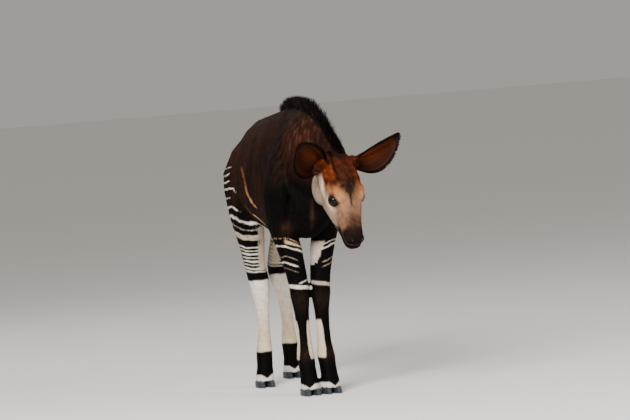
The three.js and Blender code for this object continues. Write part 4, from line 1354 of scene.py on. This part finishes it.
hide_tufts = fur_material("coat_hair", 0)
rear = step(quad_middle[:, 1], 298, 302)
lay_coat("coat_trunk_front", trunk_zone * (1 - rear), 50000, lambda p: unwrap_trunk(p, -90, 310))
lay_coat("coat_trunk_rear", trunk_zone * rear, 56000, lambda p: unwrap_trunk(p, 290, 690))
lay_coat("coat_neck", neck_zone, 46000, unwrap_neck)
lay_coat("coat_head", head_zone, 52000, unwrap_head)
lay_coat("coat_forelegs", fore_zone, 42000, lambda p: unwrap_legs(p, 470, lambda q: 35))
lay_coat("coat_hind_legs", hind_low, 56000,
         lambda p: unwrap_legs(p, 560, lambda q: leg_middle(q[:, 2], q[:, 0] > 0)))

# %% [markdown]
# ## Mane and tail
#
# The calf's mane is short and stands up like a brush. The solids carry it as a few wide locks. Here
# it is some thousands of stiff narrow blades on the same crest, as high as those locks. The tail
# ends in a small tuft of long hair, made the same way.


# %% Long hair
LONG_STEPS = np.array([0.0, 0.35, 0.7, 1.0])
LONG_TAPER = np.array([1.0, 0.85, 0.55, 0.1])
LONG_CORNERS = [[across, up] for up in (-1, -0.3, 0.3, 1) for across in (-1, 1)]


def long_blades(name, roots, ways, bends, asides, lengths, widths, colours, spots, fur):
    """Narrow blades of three lengths that bend over towards their tips."""
    share = LONG_STEPS[None, :, None]
    middle = (roots[:, None] + ways[:, None] * share * lengths[:, None, None]
              + bends[:, None] * share**2 * lengths[:, None, None])
    half = asides[:, None] * (LONG_TAPER[None, :, None] * widths[:, None, None] / 2)
    places = np.stack([middle - half, middle + half], 2)
    first = (np.arange(len(roots)) * 8)[:, None]
    steps = [first + 2 * k + np.array(t) for k in range(3) for t in ([0, 1, 3], [0, 3, 2])]
    tris = np.stack(steps, 1).reshape(-1, 3)
    hair_piece(name, places, tris, np.repeat(colours, 8, axis=0), LONG_CORNERS, spots, fur)


# %% Mane
MANE_BLADES = 5200


def make_mane(fur):
    share = np.sort(random.uniform(-0.012, 1.0, MANE_BLADES))
    across = np.clip(random.normal(0, 4.6, MANE_BLADES), -11, 11)
    place, forward = along(CREST, np.clip(share, 0, 1))
    up = crest_up(np.clip(share, 0, 1))
    clump = ripple(np.stack([share * 900, across * 2, 0 * share], 1), 26, 41)
    sideways = across * 0.035 + 0.1 * random.normal(size=MANE_BLADES) + 0.1 * clump
    ahead = -0.16 + 0.14 * clump + 0.1 * random.normal(size=MANE_BLADES)
    lean = unit(up + np.outer(sideways, [1.0, 0, 0]) + forward * ahead[:, None])
    height = MANE_HEIGHT * mane_rise(share) * (1 + 0.06 * clump)
    length = 3 + height * random.uniform(0.8, 1.06, MANE_BLADES)
    roots = place + np.outer(across, [1.0, 0, 0]) - up * (3 + 0.28 * np.abs(across))[:, None]
    shade = 1 + 0.25 * random.normal(size=(MANE_BLADES, 1))
    colour = linear("#100c0b")[None] * np.clip(shade, 0.4, 2)
    brown = random.random(MANE_BLADES) < 0.12
    colour[brown] = linear("#33201a")
    flat = unit(forward + 0.5 * random.normal(size=forward.shape))
    width = random.uniform(1.3, 2.3, MANE_BLADES)
    spots = np.stack([share, 0.5 + across / 24], 1)
    long_blades("mane_hair", roots, lean, -forward * 0.1, flat, length, width, colour, spots, fur)


# %% Tail tuft
TAIL_BLADES = 1500


def make_tail(fur):
    share = random.uniform(0.5, 1.0, TAIL_BLADES) ** 0.8
    angle = random.uniform(0, 2 * pi, TAIL_BLADES)
    place, down = along(TAIL, share)
    out = np.stack([np.cos(angle), np.sin(angle), 0 * angle], 1)
    room = place[:, 2] - 456
    length = np.minimum(random.uniform(42, 76, TAIL_BLADES), room)
    ways = unit(down + out * 0.14 + 0.05 * random.normal(size=out.shape))
    colour = linear("#16100e")[None] * np.clip(1 + 0.3 * random.normal(size=(TAIL_BLADES, 1)), 0.4, 2)
    flat = unit(np.cross(out, down))
    width = random.uniform(1.2, 2.2, TAIL_BLADES)
    spots = np.stack([angle / (2 * pi), share], 1)
    roots = place + out * 3
    long_blades("tail_hair", roots, ways, out * -0.08, flat, length, width, colour, spots, fur)


stiff_hair = fur_material("mane_and_tail_hair", 0)
make_mane(stiff_hair)
make_tail(stiff_hair)

# %% [markdown]
# The ears' velvet is laid on both faces, towards the tip, and longer hair stands along the rim.


# %% Ear hair
EAR_TUFTS, RIM_TUFTS = 15000, 1400


def make_ear_hair(side, fur):
    share = random.uniform(0.08, 0.99, EAR_TUFTS)
    turn = random.uniform(-0.98, 0.98, EAR_TUFTS)
    inside = random.random(EAR_TUFTS) < 0.4
    rim = np.arange(EAR_TUFTS) < RIM_TUFTS
    turn = np.where(rim, np.sign(turn) * 0.97, turn)
    depth = np.where(inside, -EAR_SKIN, EAR_SKIN)
    at = ear_points(side, share, turn, depth)
    ahead = ear_points(side, share + 0.01, turn, depth)
    outward = ear_points(side, share, turn, depth + np.where(inside, -1.0, 1.0))
    normal = unit(outward - at)
    way = unit(ahead - at) + 0.15 * random.normal(size=at.shape)
    beside = ear_points(side, share, turn + 0.01 * np.sign(turn), depth)
    way = np.where(rim[:, None], way * 0.6 + unit(beside - at) * 0.8, way)
    way = unit(way - normal * np.sum(way * normal, 1)[:, None])
    length = np.where(rim, 6.5, np.where(inside, 6.5, 4.5)) * random.uniform(0.7, 1.25, EAR_TUFTS)
    shade = 1 + 0.15 * random.normal(size=(EAR_TUFTS, 1))
    colour = ear_colour(side, inside & ~rim, turn, share) * shade
    spots = np.stack([0.25 + 0.25 * turn + 0.5 * inside, share], 1)
    width = 0.5 + 0.12 * length
    blades(f"ear_{side}_hair", at, normal, way, length, width, np.clip(colour, 0, 1), spots, fur,
           lift=0.13)


for ear_side in EARS:
    make_ear_hair(ear_side, hide_tufts)
